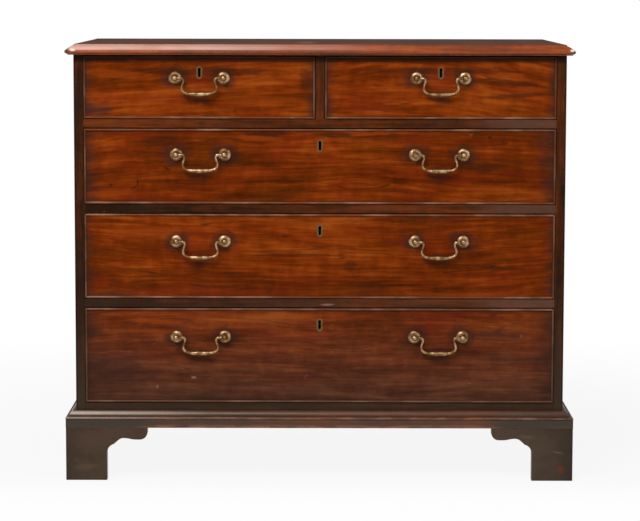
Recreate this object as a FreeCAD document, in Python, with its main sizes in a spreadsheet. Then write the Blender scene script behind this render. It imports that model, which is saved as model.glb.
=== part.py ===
import FreeCAD, Part
from enum import IntEnum
import math
import os
import re

import Sketcher

# A straight-front chest of drawers: two short over three long drawers, on bracket feet.
# Frame: +Z up, the front faces -Y, +X to the right seen from the front, Z = 0 on the floor.
# The origin is below the middle of the chest. Lengths are millimetres and angles degrees.

BACK_BOARDS = 4

SIZES = [
    # carcase
    ("carcase_width", 1036, "outer width over the two sides"),
    ("carcase_depth", 513, "front edge of a side to the back"),
    ("side_thickness", 20, "board of the sides, seen as the front stiles"),
    ("housing_depth", 8, "how far rails and boards are let into the sides"),
    ("housing_stop", 12, "front edge of a side left whole in front of the rails' housings"),
    ("rail_thickness", 19, "drawer rails, upright divider too"),
    ("rail_depth", 75, "drawer rails, front to back"),
    ("bottom_rail_depth", 25, "rail below the lowest drawer, front to back"),
    ("bottom_rail_reveal", 16, "bottom rail seen above the base moulding"),
    ("bottom_board_thickness", 20, "carcase bottom"),
    ("dustboard_thickness", 12, "boards between the drawers"),
    ("back_board_thickness", 10, "boards of the back"),
    ("back_rebate_width", 10, "rebate in the sides that holds the back"),
    ("guide_height", 30, "strip between the two short drawers"),
    ("stop_length", 40, "drawer stop, along the rail"),
    ("stop_depth", 22, "drawer stop, front to back"),
    ("stop_height", 5, "drawer stop above the rail"),
    ("stop_gap", 0.5, "drawer front to its stop when shut"),
    ("stop_inset", 90, "drawer stop from the end of its drawer"),
    # top
    ("top_thickness", 22, "top board"),
    ("top_overhang", 17, "top beyond the carcase, front and sides"),
    ("nose_width", 17, "moulded edge of the top, seen from above"),
    ("nose_quirk", 2, "small step above the slope of that edge"),
    ("nose_bulge", 1.2, "how far that slope stands out from a straight line"),
    ("nose_under_radius", 6, "round below the nose of the top"),
    ("nose_under_quirk", 2, "small step below that round"),
    # openings
    ("short_opening", 134.5, "height of the short drawers' openings"),
    ("upper_opening", 161, "height of the upper long opening"),
    ("middle_opening", 182, "height of the middle long opening"),
    ("lower_opening", 204.5, "height of the lower long opening"),
    # base and feet
    ("base_projection", 21, "base moulding beyond the carcase"),
    ("base_moulding_height", 35, "base moulding"),
    ("base_fascia_height", 17, "flat lower part of the base moulding"),
    ("base_fascia_setback", 0.5, "flat part behind the bead of the base moulding"),
    ("base_bead_radius", 3, "bead of the base moulding"),
    ("base_round_radius", 11, "round above that bead"),
    ("base_top_ledge", 2, "flat at the top of the base moulding"),
    ("foot_height", 113, "floor to the underside of the base moulding"),
    ("foot_setback", 0.8, "foot brackets behind the base moulding"),
    ("bracket_thickness", 20, "board of the foot brackets"),
    ("foot_pad_width", 87, "foot bracket at the floor"),
    ("foot_leg_rise", 58.5, "straight inner edge of the leg"),
    ("knee_radius", 20, "round that springs from the leg"),
    ("knee_angle", 75, "sweep of that round, degrees"),
    ("wing_length", 86, "wing of a bracket beyond its leg"),
    ("crest_offset", 35.5, "leg to the crest of the wing's wave"),
    ("crest_drop", 22.5, "base moulding down to the crest of the wing's wave"),
    ("crest_radius", 17, "round from the cusp to the crest"),
    ("dip_offset", 62, "leg to the dip of the wing's wave"),
    ("dip_drop", 3.2, "crest of the wave down to its dip"),
    ("wing_end_radius", 16, "round at the end of the wing"),
    ("rear_bracket_length", 150, "plain bracket at the back"),
    ("rear_wing_height", 40, "plain bracket at its thin end"),
    ("block_width", 30, "upright block inside each foot"),
    ("block_floor_gap", 2, "upright block above the floor"),
    ("glue_block_length", 50, "block under the base along each wing"),
    ("glue_block_size", 20, "the same block, across"),
    # drawers
    ("drawer_side_gap", 1, "drawer front to the side of its opening"),
    ("drawer_top_gap", 2, "drawer front to the top of its opening"),
    ("front_lift", 0.8, "drawer front above the rail below it"),
    ("drawer_seat_gap", 0.3, "drawer side above the board it runs on"),
    ("drawer_back_gap", 13, "drawer to the back boards"),
    ("front_thickness", 20, "drawer fronts"),
    ("front_lap", 9, "front left over the ends of the dovetails"),
    ("drawer_side_thickness", 9, "drawer sides and backs"),
    ("drawer_side_drop", 2, "drawer side below the top of the front"),
    ("drawer_back_drop", 6, "drawer back below the top of the sides"),
    ("drawer_bottom_thickness", 7, "drawer bottoms"),
    ("drawer_bottom_raise", 8, "drawer bottom above the rail"),
    ("drawer_bottom_margin", 4.5, "drawer bottom short of the back's outer face"),
    ("groove_depth", 5, "groove that holds the drawer bottom"),
    ("tail_gap", 9, "pin between two dovetails, at their root"),
    ("tail_angle", 9, "slope of the dovetails, degrees"),
    ("short_tails", 3, "dovetails of a short drawer, number"),
    ("upper_tails", 4, "dovetails of the upper long drawer, number"),
    ("middle_tails", 4, "dovetails of the middle long drawer, number"),
    ("lower_tails", 5, "dovetails of the lower long drawer, number"),
    ("bead_width", 4, "cock bead seen from the front"),
    ("bead_projection", 3, "cock bead in front of the drawer front"),
    ("bead_rebate", 7, "cock bead let into the drawer front"),
    # handles
    ("handle_spacing", 102, "between the two posts of a handle"),
    ("long_handle_offset", 252, "middle of a long drawer to a handle"),
    ("short_handle_drop", 48.5, "top of the opening to the handle's pivot"),
    ("upper_handle_drop", 56, "the same on the upper long drawer"),
    ("middle_handle_drop", 60, "the same on the middle long drawer"),
    ("lower_handle_drop", 63, "the same on the lower long drawer"),
    ("rose_radius", 14, "domed round plate behind each post"),
    ("rose_thickness", 5.2, "the same at its middle"),
    ("rose_rim", 1, "the same at its rim"),
    ("rose_boss", 7, "radius of its flat middle, where its dome starts"),
    ("post_radius", 2.5, "screwed shank of a post"),
    ("post_collar_radius", 5, "collar on the rose"),
    ("post_collar_height", 1.4, "the same, along the post"),
    ("post_neck_radius", 2.9, "neck below the head"),
    ("head_radius", 6, "round head of a post"),
    ("pivot_out", 13.5, "drawer front to the bail's axis"),
    ("nut_radius", 6, "nut inside the drawer"),
    ("nut_thickness", 4, "the same, along the post"),
    ("shank_end", 2, "shank beyond its nut"),
    ("pin_radius", 2, "end of the bail in its post"),
    ("pin_clearance", 0.1, "around that end"),
    ("pin_engagement", 3.5, "how far it reaches into the head"),
    ("bail_end_gap", 0.3, "bail's arm to the head"),
    ("neck_radius", 2.65, "round bar of the bail"),
    ("bail_drop", 34, "pivot to the middle of the grip"),
    ("bail_shoulder", 14.5, "post to the start of the shoulder's turn"),
    ("shoulder_radius", 4, "turn of the bar at the shoulder"),
    ("neck_lean", 17, "outward slope of the swan neck, degrees"),
    ("bend_radius", 9, "turn of the bar into the grip"),
    ("grip_bow_radius", 75, "bow of the grip"),
    ("grip_radius", 4.9, "thick middle of the grip"),
    ("grip_end_radius", 1.5, "the same where it runs out in the bar"),
    ("grip_half_length", 14, "half the thick middle"),
    # locks
    ("keyhole_drop", 37, "top of the opening to the keyhole's middle"),
    ("keyhole_rise", 6.6, "middle of the keyhole to its round top"),
    ("keyhole_fall", 7.3, "middle of the keyhole to its lower round"),
    ("keyhole_head_radius", 3.3, "round top of the keyhole"),
    ("keyhole_half_width", 2.7, "half the slot of the keyhole"),
    ("escutcheon_rim", 3.6, "brass lining around the keyhole"),
    ("escutcheon_depth", 3, "the same, let into the front"),
    ("escutcheon_projection", 0.3, "the same, in front"),
    ("lock_width", 60, "lock case and its top plate"),
    ("lock_height", 56, "lock case, top plate included"),
    ("lock_depth", 11, "lock case, front to back"),
    ("selvedge_thickness", 2, "top plate of the lock"),
    ("key_recess", 6, "key's way into the lock case"),
    ("key_pin_radius", 1.2, "pin that the key turns on"),
    ("bolt_width", 24, "lock bolt"),
    ("bolt_thickness", 5, "the same, front to back"),
    ("bolt_length", 20, "the same, upright"),
    ("bolt_clearance", 0.3, "around the bolt in its case"),
    ("bolt_travel", 8, "how far the bolt rises"),
    ("mortise_clearance", 1.5, "around the raised bolt in the rail"),
]

DERIVED = [
    ("half_width", "carcase_width / 2"),
    ("front_y", "(base_projection - carcase_depth) / 2"),
    ("back_y", "(base_projection + carcase_depth) / 2"),
    ("inner_back_y", "back_y - back_board_thickness"),
    ("rail_back_y", "front_y + rail_depth"),
    ("opening_width", "carcase_width - 2 * side_thickness"),
    ("housed_half", "opening_width / 2 + housing_depth"),
    ("back_half", "opening_width / 2 + back_rebate_width"),
    ("lower_level", "foot_height + base_moulding_height + bottom_rail_reveal"),
    ("lower_top", "lower_level + lower_opening"),
    ("middle_level", "lower_top + rail_thickness"),
    ("middle_top", "middle_level + middle_opening"),
    ("upper_level", "middle_top + rail_thickness"),
    ("upper_top", "upper_level + upper_opening"),
    ("short_level", "upper_top + rail_thickness"),
    ("short_top", "short_level + short_opening"),
    ("carcase_height", "short_top - foot_height"),
    ("nose_rise", "top_thickness - nose_quirk - nose_under_radius - nose_under_quirk"),
    ("nose_slope", "sqrt(nose_width ^ 2 + nose_rise ^ 2)"),
    ("nose_radius", "(nose_slope ^ 2 / (4 * nose_bulge) + nose_bulge) / 2"),
    ("nose_centre_in", "nose_width / 2 + (nose_radius - nose_bulge) * nose_rise / nose_slope"),
    ("nose_centre_up", "nose_rise / 2 - (nose_radius - nose_bulge) * nose_width / nose_slope"),
    ("short_opening_width", "(opening_width - rail_thickness) / 2"),
    ("short_middle", "(rail_thickness + short_opening_width) / 2"),
    ("short_front_width", "short_opening_width - 2 * drawer_side_gap"),
    ("long_front_width", "opening_width - 2 * drawer_side_gap"),
    ("drawer_depth", "carcase_depth - back_board_thickness - drawer_back_gap"),
    ("stop_y", "front_y + front_thickness + stop_gap"),
    ("long_stop_x", "opening_width / 2 - stop_inset - stop_length"),
    ("short_stop_x", "(rail_thickness - stop_length + short_opening_width) / 2"),
    ("tail_depth", "front_thickness - front_lap"),
    ("back_edge", "drawer_bottom_raise + drawer_bottom_thickness"),
    ("bolt_middle_y", "front_thickness - lock_depth / 2"),
    ("mortise_half_width", "bolt_width / 2 + mortise_clearance"),
    ("mortise_half_depth", "bolt_thickness / 2 + mortise_clearance"),
    ("mortise_depth", "bolt_travel - drawer_top_gap + mortise_clearance"),
    ("arm_start", "handle_spacing / 2 - head_radius - bail_end_gap"),
    ("shoulder_x", "handle_spacing / 2 - bail_shoulder"),
    ("lean_cos", "cos(neck_lean * 1 deg)"),
    ("lean_sin", "sin(neck_lean * 1 deg)"),
    ("neck_top_x", "shoulder_x - shoulder_radius * lean_cos"),
    ("neck_top_z", "-shoulder_radius * (1 + lean_sin)"),
    ("bow_rise", "grip_bow_radius - bail_drop"),
    ("bow_reach", "grip_bow_radius - bend_radius"),
    ("bow_offset", "neck_top_x * lean_cos + neck_top_z * lean_sin - bend_radius - bow_rise * lean_sin"),
    ("bow_angle", "neck_lean * 1 deg / (1 rad) + asin(bow_offset / bow_reach) / (1 rad)"),
    ("bow_cos", "cos(bow_angle * 1 rad)"),
    ("bow_sin", "sin(bow_angle * 1 rad)"),
    ("bend_x", "bow_reach * bow_sin"),
    ("bend_z", "bow_rise - bow_reach * bow_cos"),
    ("neck_foot_x", "bend_x + bend_radius * lean_cos"),
    ("neck_foot_z", "bend_z + bend_radius * lean_sin"),
    ("bow_end_x", "grip_bow_radius * bow_sin"),
    ("bow_end_z", "bow_rise - grip_bow_radius * bow_cos"),
    ("grip_swell", "grip_radius - grip_end_radius"),
    ("grip_curve", "(grip_half_length ^ 2 + grip_swell ^ 2) / (2 * grip_swell)"),
    ("head_start", "pivot_out - sqrt(head_radius ^ 2 - post_neck_radius ^ 2)"),
    ("shank_start", "-(front_thickness + nut_thickness + shank_end)"),
    ("collar_top", "rose_thickness + post_collar_height"),
    ("rose_fall", "rose_thickness - rose_rim"),
    ("rose_dome_radius", "((rose_radius - rose_boss) ^ 2 + rose_fall ^ 2) / (2 * rose_fall)"),
    ("knee_cos", "cos(knee_angle * 1 deg)"),
    ("knee_sin", "sin(knee_angle * 1 deg)"),
    ("diagonal", "sqrt(0.5)"),
    ("crest_height", "foot_height - crest_drop"),
    ("dip_height", "crest_height - dip_drop"),
    ("wave_middle", "(crest_offset + dip_offset) / 2"),
    ("wave_radius", "((dip_offset - crest_offset) ^ 2 / dip_drop + dip_drop) / 4"),
    ("foot_x", "half_width + base_projection - foot_setback"),
    ("foot_y", "front_y - base_projection + foot_setback"),
]

doc = FreeCAD.newDocument("chest_of_drawers")
sheet = doc.addObject("Spreadsheet::Sheet", "Sizes")
for row, (alias, size, note) in enumerate(SIZES, start=1):
    sheet.set(f"A{row}", note)
    sheet.set(f"B{row}", str(size))
    sheet.setAlias(f"B{row}", alias)
doc.recompute()

derived = doc.addObject("App::VarSet", "Derived")
SIZE_NAMES = {alias for alias, _, _ in SIZES}
DERIVED_NAMES = {name for name, _ in DERIVED}
WORD = re.compile(r"[a-z][a-z0-9_]*")
nodes = []


class Spot(IntEnum):
    """The points of an edge in a sketch, as the sketcher counts them."""
    START = 1
    END = 2
    CENTRE = 3


def other_end(spot):
    """The end of an edge across from this one."""
    return Spot.START if spot == Spot.END else Spot.END


def bound(text):
    """The expression with each size's name pointed at the sheet or at the derived values."""
    def owner(match):
        word = match.group(0)
        if word in SIZE_NAMES:
            return "Sizes." + word
        if word in DERIVED_NAMES:
            return "Derived." + word
        return word
    return WORD.sub(owner, text)


for name, formula in DERIVED:
    derived.addProperty("App::PropertyFloat", name)
    derived.setExpression(name, bound(formula))
    doc.recompute()


def value(text):
    """What an expression comes to now."""
    return float(derived.evalExpression(bound(text)))


def place(item, x="0", y="0", z="0"):
    """Bind an object's position."""
    for axis, text in zip("xyz", (x, y, z)):
        item.setExpression(f"Placement.Base.{axis}", bound(text))
    return item


def turn(item, axis, angle):
    """Turn an object about an axis through its own origin, before it is placed."""
    item.Placement = FreeCAD.Placement(FreeCAD.Vector(), FreeCAD.Rotation(FreeCAD.Vector(*axis), angle))
    return item


def box(name, x, y, z, length, width, height):
    """A squared board whose lowest corner is at x, y, z."""
    board = doc.addObject("Part::Box", name)
    board.setExpression("Length", bound(length))
    board.setExpression("Width", bound(width))
    board.setExpression("Height", bound(height))
    return place(board, x, y, z)


def group(name, items):
    """Several objects held as one, kept as separate solids."""
    held = doc.addObject("Part::Compound", name)
    held.Links = items
    return held


def cut(name, base, tool):
    """The base with the tool's room taken out of it."""
    result = doc.addObject("Part::Cut", name)
    result.Base = base
    result.Tool = tool
    return result


def common(name, first, second):
    """What two objects share."""
    result = doc.addObject("Part::Common", name)
    result.Base = first
    result.Tool = second
    return result


def fused(name, items):
    """Several solids made into one."""
    result = doc.addObject("Part::MultiFuse", name)
    result.Shapes = items
    return result


def mirrored(name, source, normal):
    """The source reflected in a plane through the origin."""
    result = doc.addObject("Part::Mirroring", name)
    result.Source = source
    result.Normal = FreeCAD.Vector(*normal)
    return result


def node(label, source, x="0", y="0", z="0"):
    """One named sub-part of the chest, made of a source object put in its place."""
    part = group(label, [source])
    nodes.append(part)
    return place(part, x, y, z)


def add_sketch(body, name, plane, outlines, offset="0"):
    """Closed outlines on one of the body's origin planes, offset along its positive axis.

    An outline is a list of corners (x, y). A corner (x, y, centre_x, centre_y, side) ends an arc
    that comes from the corner before it, with its centre to the left (side 1) or right (side -1).
    """
    drawing = body.newObject("Sketcher::SketchObject", name)
    origin_plane = next(item for item in body.Origin.OriginFeatures if item.Role == plane)
    drawing.AttachmentSupport = (origin_plane, [""])
    drawing.MapMode = "FlatFace"
    sign = "-1" if plane == "XZ_Plane" else "1"
    drawing.setExpression("AttachmentOffset.Base.z", bound(f"{sign} * ({offset})"))
    for outline in outlines:
        draw_outline(drawing, outline)
    return drawing


def draw_outline(drawing, outline):
    """Draw one closed outline and bind every corner and centre."""
    ends = [draw_edge(drawing, outline[index - 1], corner) for index, corner in enumerate(outline)]
    for before, edge in zip([ends[-1]] + ends, ends):
        join_ends(drawing, before, edge)


def draw_route(drawing, route):
    """Draw an open line of straights and arcs and bind every corner and centre."""
    ends = [draw_edge(drawing, before, corner) for before, corner in zip(route, route[1:])]
    first_edge, first_end = ends[0]
    pin_point(drawing, first_edge, other_end(first_end), route[0][0], route[0][1])
    for before, edge in zip(ends, ends[1:]):
        join_ends(drawing, before, edge)


def draw_edge(drawing, before, corner):
    """Draw the straight or arc from one corner to the next, and say which of its ends is the next."""
    start = FreeCAD.Vector(value(before[0]), value(before[1]), 0)
    end = FreeCAD.Vector(value(corner[0]), value(corner[1]), 0)
    if len(corner) == 2:
        edge = drawing.addGeometry(Part.LineSegment(start, end), False)
        pin_point(drawing, edge, Spot.END, corner[0], corner[1])
        return edge, Spot.END
    centre_x, centre_y, side = corner[2:]
    centre = FreeCAD.Vector(value(centre_x), value(centre_y), 0)
    circle = Part.Circle(centre, FreeCAD.Vector(0, 0, 1), (end - centre).Length)
    first, last = (start, end) if side > 0 else (end, start)
    first_angle = math.atan2(first.y - centre.y, first.x - centre.x)
    last_angle = math.atan2(last.y - centre.y, last.x - centre.x)
    while last_angle <= first_angle:
        last_angle += 2 * math.pi
    edge = drawing.addGeometry(Part.ArcOfCircle(circle, first_angle, last_angle), False)
    end_point = Spot.END if side > 0 else Spot.START
    pin_point(drawing, edge, end_point, corner[0], corner[1])
    chord = end - start
    if abs(chord.y) > abs(chord.x):
        pin_coordinate(drawing, "DistanceX", edge, Spot.CENTRE, centre_x)
    else:
        pin_coordinate(drawing, "DistanceY", edge, Spot.CENTRE, centre_y)
    return edge, end_point


def join_ends(drawing, before, edge):
    """Join the end of one edge to the start of the next."""
    start_point = other_end(edge[1])
    drawing.addConstraint(Sketcher.Constraint("Coincident", before[0], before[1], edge[0], start_point))


def pin_point(drawing, edge, point, x, y):
    """Bind both coordinates of a sketch point."""
    pin_coordinate(drawing, "DistanceX", edge, point, x)
    pin_coordinate(drawing, "DistanceY", edge, point, y)


def pin_coordinate(drawing, kind, edge, point, text):
    """Bind one coordinate of a sketch point to an expression."""
    number = drawing.addConstraint(Sketcher.Constraint(kind, -1, 1, edge, point, value(text)))
    drawing.setExpression(f"Constraints[{number}]", bound(text))


def sawn(name, plane, outlines, start, length):
    """A body made by padding outlines, from start, along the plane's positive axis."""
    body = doc.addObject("PartDesign::Body", name)
    pad_on(body, name + "_pad", plane, outlines, start, length)
    return body


def pad_on(body, name, plane, outlines, start, length):
    """Add material to a body from outlines."""
    pad = body.newObject("PartDesign::Pad", name)
    pad.Profile = add_sketch(body, name + "_sketch", plane, outlines, start)
    pad.setExpression("Length", bound(length))
    pad.Reversed = plane == "XZ_Plane"
    return pad


def turned(name, outline, axis="X"):
    """A body turned about the X axis from an outline (along the axis, radius), or about -Y."""
    body = doc.addObject("PartDesign::Body", name)
    drawing = add_sketch(body, name + "_sketch", "XY_Plane", [outline])
    lathe = body.newObject("PartDesign::Revolution", name + "_turning")
    lathe.Profile = drawing
    lathe.ReferenceAxis = (drawing, ["H_Axis"])
    lathe.Angle = 360
    if axis == "-Y":
        turn(body, (0, 0, 1), -90)
    return body


def rectangle(x, y, width, height):
    """The outline of a rectangle from its lowest corner."""
    return [(x, y), (f"{x} + {width}", y), (f"{x} + {width}", f"{y} + {height}"), (x, f"{y} + {height}")]


# ---------------------------------------------------------------- top

def nose(inward, edge, side):
    """Corners of the top's moulded edge from its upper surface down, at one edge.

    inward is + or - along the drawing's first axis, edge is the nose's tip, and side is the turn
    of the arcs.
    """
    quirk_x = f"{edge} {inward} nose_width"
    under_x = f"{edge} {inward} nose_under_radius"
    nose_z = "short_top + nose_under_quirk + nose_under_radius"
    return [
        (quirk_x, "short_top + top_thickness"),
        (quirk_x, f"{nose_z} + nose_rise"),
        (edge, nose_z, f"{edge} {inward} nose_centre_in", f"{nose_z} + nose_centre_up", side),
        (under_x, "short_top + nose_under_quirk", under_x, nose_z, side),
        (under_x, "short_top"),
    ]


def backwards(path):
    """The same open path drawn from its other end."""
    turned_round = [path[-1][:2]]
    for corner, following in zip(path[-2::-1], path[:0:-1]):
        arc = following[2:4] + (-following[4],) if len(following) == 5 else ()
        turned_round.append(corner[:2] + arc)
    return turned_round


def make_top():
    """The top: a board moulded at its front and sides, with mortises below for two lock bolts."""
    front_edge = "front_y - top_overhang"
    side_edge = "(half_width + top_overhang)"
    back_corners = [("back_y", "short_top"), ("back_y", "short_top + top_thickness")]
    along = sawn("top_lengthwise", "YZ_Plane", [nose("+", front_edge, 1) + back_corners],
                 f"-{side_edge}", f"2 * {side_edge}")
    right = nose("-", side_edge, -1)
    left = nose("+", f"-{side_edge}", 1)
    across = sawn("top_crosswise", "XZ_Plane", [left + backwards(right)],
                  front_edge, "carcase_depth + top_overhang")
    board = common("top_board", along, across)
    mortises = [mortise(f"top_mortise_{side}", x, "short_top") for side, x in SHORT_SIDES]
    node("top", cut("top_mortised", board, group("top_mortises", mortises)))


def mortise(name, middle_x, underside):
    """Room above a drawer lock for its raised bolt."""
    return box(name, f"{middle_x} - mortise_half_width", "front_y + bolt_middle_y - mortise_half_depth",
               underside, "2 * mortise_half_width", "2 * mortise_half_depth", "mortise_depth")


SHORT_SIDES = [("left", "-short_middle"), ("right", "short_middle")]


# ---------------------------------------------------------------- carcase

def rail_board(name, underside, depth, height):
    """A rail let into both sides, with the front corners of its ends cut away."""
    board = box(f"{name}_board", "-housed_half", "front_y", underside, "2 * housed_half", depth, height)
    corners = [box(f"{name}_{side}_corner", x, "front_y", underside, "housing_depth", "housing_stop", height)
               for side, x in (("left", "-housed_half"), ("right", "opening_width / 2"))]
    return cut(f"{name}_shouldered", board, group(f"{name}_corners", corners))


def make_carcase():
    """Sides, rails, divider, boards and back."""
    rails = []
    for tier in ("upper", "middle", "lower"):
        board = rail_board(f"{tier}_rail", f"{tier}_top", "rail_depth", "rail_thickness")
        rails.append(cut(f"{tier}_rail_mortised", board, mortise(f"{tier}_rail_mortise", "0", f"{tier}_top")))
        node(f"{tier}_rail", rails[-1])
    bottom_rail = rail_board("bottom_rail", "foot_height", "bottom_rail_depth", "lower_level - foot_height")
    node("bottom_rail", bottom_rail)

    dustboards = [
        box(f"{tier}_dustboard", "-housed_half", "rail_back_y",
            f"{tier}_top + rail_thickness - dustboard_thickness",
            "2 * housed_half", "inner_back_y - rail_back_y", "dustboard_thickness")
        for tier in ("upper", "middle", "lower")
    ]
    node("dustboards", group("dustboard_set", dustboards))
    bottom_board = box("bottom_panel", "-housed_half", "front_y + bottom_rail_depth",
                       "lower_level - bottom_board_thickness", "2 * housed_half",
                       "inner_back_y - front_y - bottom_rail_depth", "bottom_board_thickness")
    node("bottom_board", bottom_board)

    back = [
        box(f"back_board_{index}", f"(2 * {index} / {BACK_BOARDS} - 1) * back_half", "inner_back_y",
            "foot_height", f"2 * back_half / {BACK_BOARDS}", "back_board_thickness", "carcase_height")
        for index in range(BACK_BOARDS)
    ]
    back_set = group("back_board_set", back)
    node("back_boards", back_set)

    side_board = box("side_board", "-half_width", "front_y", "foot_height",
                     "side_thickness", "carcase_depth", "carcase_height")
    housed = group("housed_in_sides", rails + [bottom_rail, bottom_board, back_set] + dustboards)
    left_side = cut("side_housed", side_board, housed)
    node("left_side", left_side)
    node("right_side", mirrored("side_mirrored", left_side, (1, 0, 0)))

    node("short_drawer_divider", box("divider_upright", "-rail_thickness / 2", "front_y", "short_level",
                                     "rail_thickness", "rail_depth", "short_opening"))
    make_stops()


def make_stops():
    """The guide strip behind the divider, and the stops that the drawer fronts meet."""
    pieces = [box("guide_strip", "-rail_thickness / 2", "rail_back_y", "short_level",
                  "rail_thickness", "inner_back_y - rail_back_y", "guide_height")]
    for tier in ("upper", "middle", "lower"):
        for side, x in (("left", "-long_stop_x - stop_length"), ("right", "long_stop_x")):
            pieces.append(box(f"{tier}_{side}_stop", x, "stop_y", f"{tier}_level",
                              "stop_length", "stop_depth", "stop_height"))
    for side, x in (("left", "-short_stop_x - stop_length"), ("right", "short_stop_x")):
        pieces.append(box(f"short_{side}_stop", x, "stop_y", "short_level",
                          "stop_length", "stop_depth", "stop_height"))
    node("drawer_guide_and_stops", group("guide_and_stop_set", pieces))


# ---------------------------------------------------------------- base and feet

def base_profile(wall):
    """The base moulding's section: round, bead and flat, below zero from a wall."""
    bead_x = f"{wall} - (base_projection - base_bead_radius)"
    ledge_x = f"{wall} - base_top_ledge"
    round_x = f"{ledge_x} - base_round_radius"
    top_z = "foot_height + base_moulding_height"
    bead_z = "foot_height + base_fascia_height + base_bead_radius"
    fascia_x = f"{wall} - (base_projection - base_fascia_setback)"
    return [
        (wall, "foot_height"),
        (wall, top_z),
        (ledge_x, top_z),
        (round_x, f"{top_z} - base_round_radius", ledge_x, f"{top_z} - base_round_radius", 1),
        (round_x, f"{bead_z} + base_bead_radius"),
        (bead_x, f"{bead_z} + base_bead_radius"),
        (bead_x, "foot_height + base_fascia_height", bead_x, bead_z, 1),
        (fascia_x, "foot_height + base_fascia_height"),
        (fascia_x, "foot_height"),
    ]


def make_base_moulding():
    """Three strips of moulding around the front and sides, mitred at the front corners."""
    outer = "(half_width + base_projection)"
    front_edge = "front_y - base_projection"
    front_run = sawn("front_moulding_run", "YZ_Plane", [base_profile("front_y")],
                     f"-{outer}", f"2 * {outer}")
    front_plan = sawn("front_moulding_plan", "XY_Plane",
                      [[(f"-{outer}", front_edge), (outer, front_edge),
                        ("half_width", "front_y"), ("-half_width", "front_y")]],
                      "foot_height", "base_moulding_height")
    side_run = sawn("side_moulding_run", "XZ_Plane", [base_profile("-half_width")],
                    front_edge, "carcase_depth + base_projection")
    side_plan = sawn("side_moulding_plan", "XY_Plane",
                     [[(f"-{outer}", front_edge), ("-half_width", "front_y"),
                       ("-half_width", "back_y"), (f"-{outer}", "back_y")]],
                     "foot_height", "base_moulding_height")
    left = common("left_moulding", side_run, side_plan)
    right = mirrored("right_moulding", left, (1, 0, 0))
    front = common("front_moulding", front_run, front_plan)
    node("base_moulding", group("base_moulding_set", [front, left, right]))


def bracket_outline():
    """A foot bracket seen from its face: leg, knee, cusp, wave and rounded wing end."""
    leg = "foot_pad_width"
    cusp = (f"{leg} + knee_radius * (1 - knee_cos)", "foot_leg_rise + knee_radius * knee_sin")
    crest_x = f"{leg} + crest_offset"
    crest_centre_z = "crest_height - crest_radius"
    dip_x = f"{leg} + dip_offset"
    wing_x = f"{leg} + wing_length"
    return [
        ("0", "0"),
        (leg, "0"),
        (leg, "foot_leg_rise"),
        cusp + (f"{leg} + knee_radius", "foot_leg_rise", -1),
        (f"{crest_x} - crest_radius * diagonal", f"{crest_centre_z} + crest_radius * diagonal"),
        (crest_x, "crest_height", crest_x, crest_centre_z, -1),
        (f"{leg} + wave_middle", "(crest_height + dip_height) / 2",
         crest_x, "crest_height - wave_radius", -1),
        (dip_x, "dip_height", dip_x, "dip_height + wave_radius", 1),
        (f"{wing_x} - wing_end_radius", "dip_height"),
        (wing_x, "dip_height + wing_end_radius", f"{wing_x} - wing_end_radius",
         "dip_height + wing_end_radius", 1),
        (wing_x, "foot_height"),
        ("0", "foot_height"),
    ]


def make_feet():
    """Mitred bracket feet in front, plainer ones behind, and the blocks inside them."""
    face = sawn("bracket_face", "XZ_Plane", [bracket_outline()], "0", "bracket_thickness")
    corner = sawn("bracket_mitre", "XY_Plane",
                  [[("0", "0"), ("bracket_thickness", "bracket_thickness"), ("0", "bracket_thickness")]],
                  "0", "foot_height")
    front_bracket = cut("front_bracket", face, corner)
    side_bracket = mirrored("side_bracket", front_bracket, (1, -1, 0))
    foot = place(group("front_foot_pair", [front_bracket, side_bracket]), "-foot_x", "foot_y", "0")
    node("front_left_foot", foot)
    node("front_right_foot", mirrored("front_foot_mirrored", group("front_foot_placed", [foot]), (1, 0, 0)))

    rear_side = place(mirrored("rear_side_bracket", mirrored("bracket_turned", face, (1, -1, 0)), (0, 1, 0)),
                      "-foot_x", "back_y", "0")
    rear_inner = "-foot_x + bracket_thickness"
    rear_plain = sawn("rear_plain_bracket", "XZ_Plane",
                      [[(rear_inner, "0"), ("-foot_x + foot_pad_width", "0"),
                        ("-foot_x + foot_pad_width", "foot_leg_rise"),
                        ("-foot_x + rear_bracket_length", "foot_height - rear_wing_height"),
                        ("-foot_x + rear_bracket_length", "foot_height"), (rear_inner, "foot_height")]],
                      "back_y - bracket_thickness", "bracket_thickness")
    rear_left = group("rear_left_pair", [rear_side, rear_plain])
    node("rear_feet", group("rear_foot_set", [rear_left, mirrored("rear_right_pair", rear_left, (1, 0, 0))]))

    inner_x = "-foot_x + bracket_thickness"
    front_inner_y = "foot_y + bracket_thickness"
    rear_inner_y = "back_y - bracket_thickness"
    blocks = [
        box("front_upright_block", inner_x, front_inner_y, "block_floor_gap",
            "block_width", "block_width", "foot_height - block_floor_gap"),
        box("rear_upright_block", inner_x, f"{rear_inner_y} - block_width", "block_floor_gap",
            "block_width", "block_width", "foot_height - block_floor_gap"),
        box("front_wing_block", f"{inner_x} + block_width", front_inner_y, "foot_height - glue_block_size",
            "glue_block_length", "glue_block_size", "glue_block_size"),
        box("side_wing_block", inner_x, f"{front_inner_y} + block_width", "foot_height - glue_block_size",
            "glue_block_size", "glue_block_length", "glue_block_size"),
        box("rear_side_wing_block", inner_x, f"{rear_inner_y} - block_width - glue_block_length",
            "foot_height - glue_block_size", "glue_block_size", "glue_block_length", "glue_block_size"),
        box("rear_wing_block", f"{inner_x} + block_width", f"{rear_inner_y} - glue_block_size",
            "foot_height - glue_block_size", "glue_block_length", "glue_block_size", "glue_block_size"),
    ]
    left_blocks = group("left_foot_blocks", blocks)
    node("foot_blocks", group("foot_block_set",
                              [left_blocks, mirrored("right_foot_blocks", left_blocks, (1, 0, 0))]))


# ---------------------------------------------------------------- handles

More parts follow.
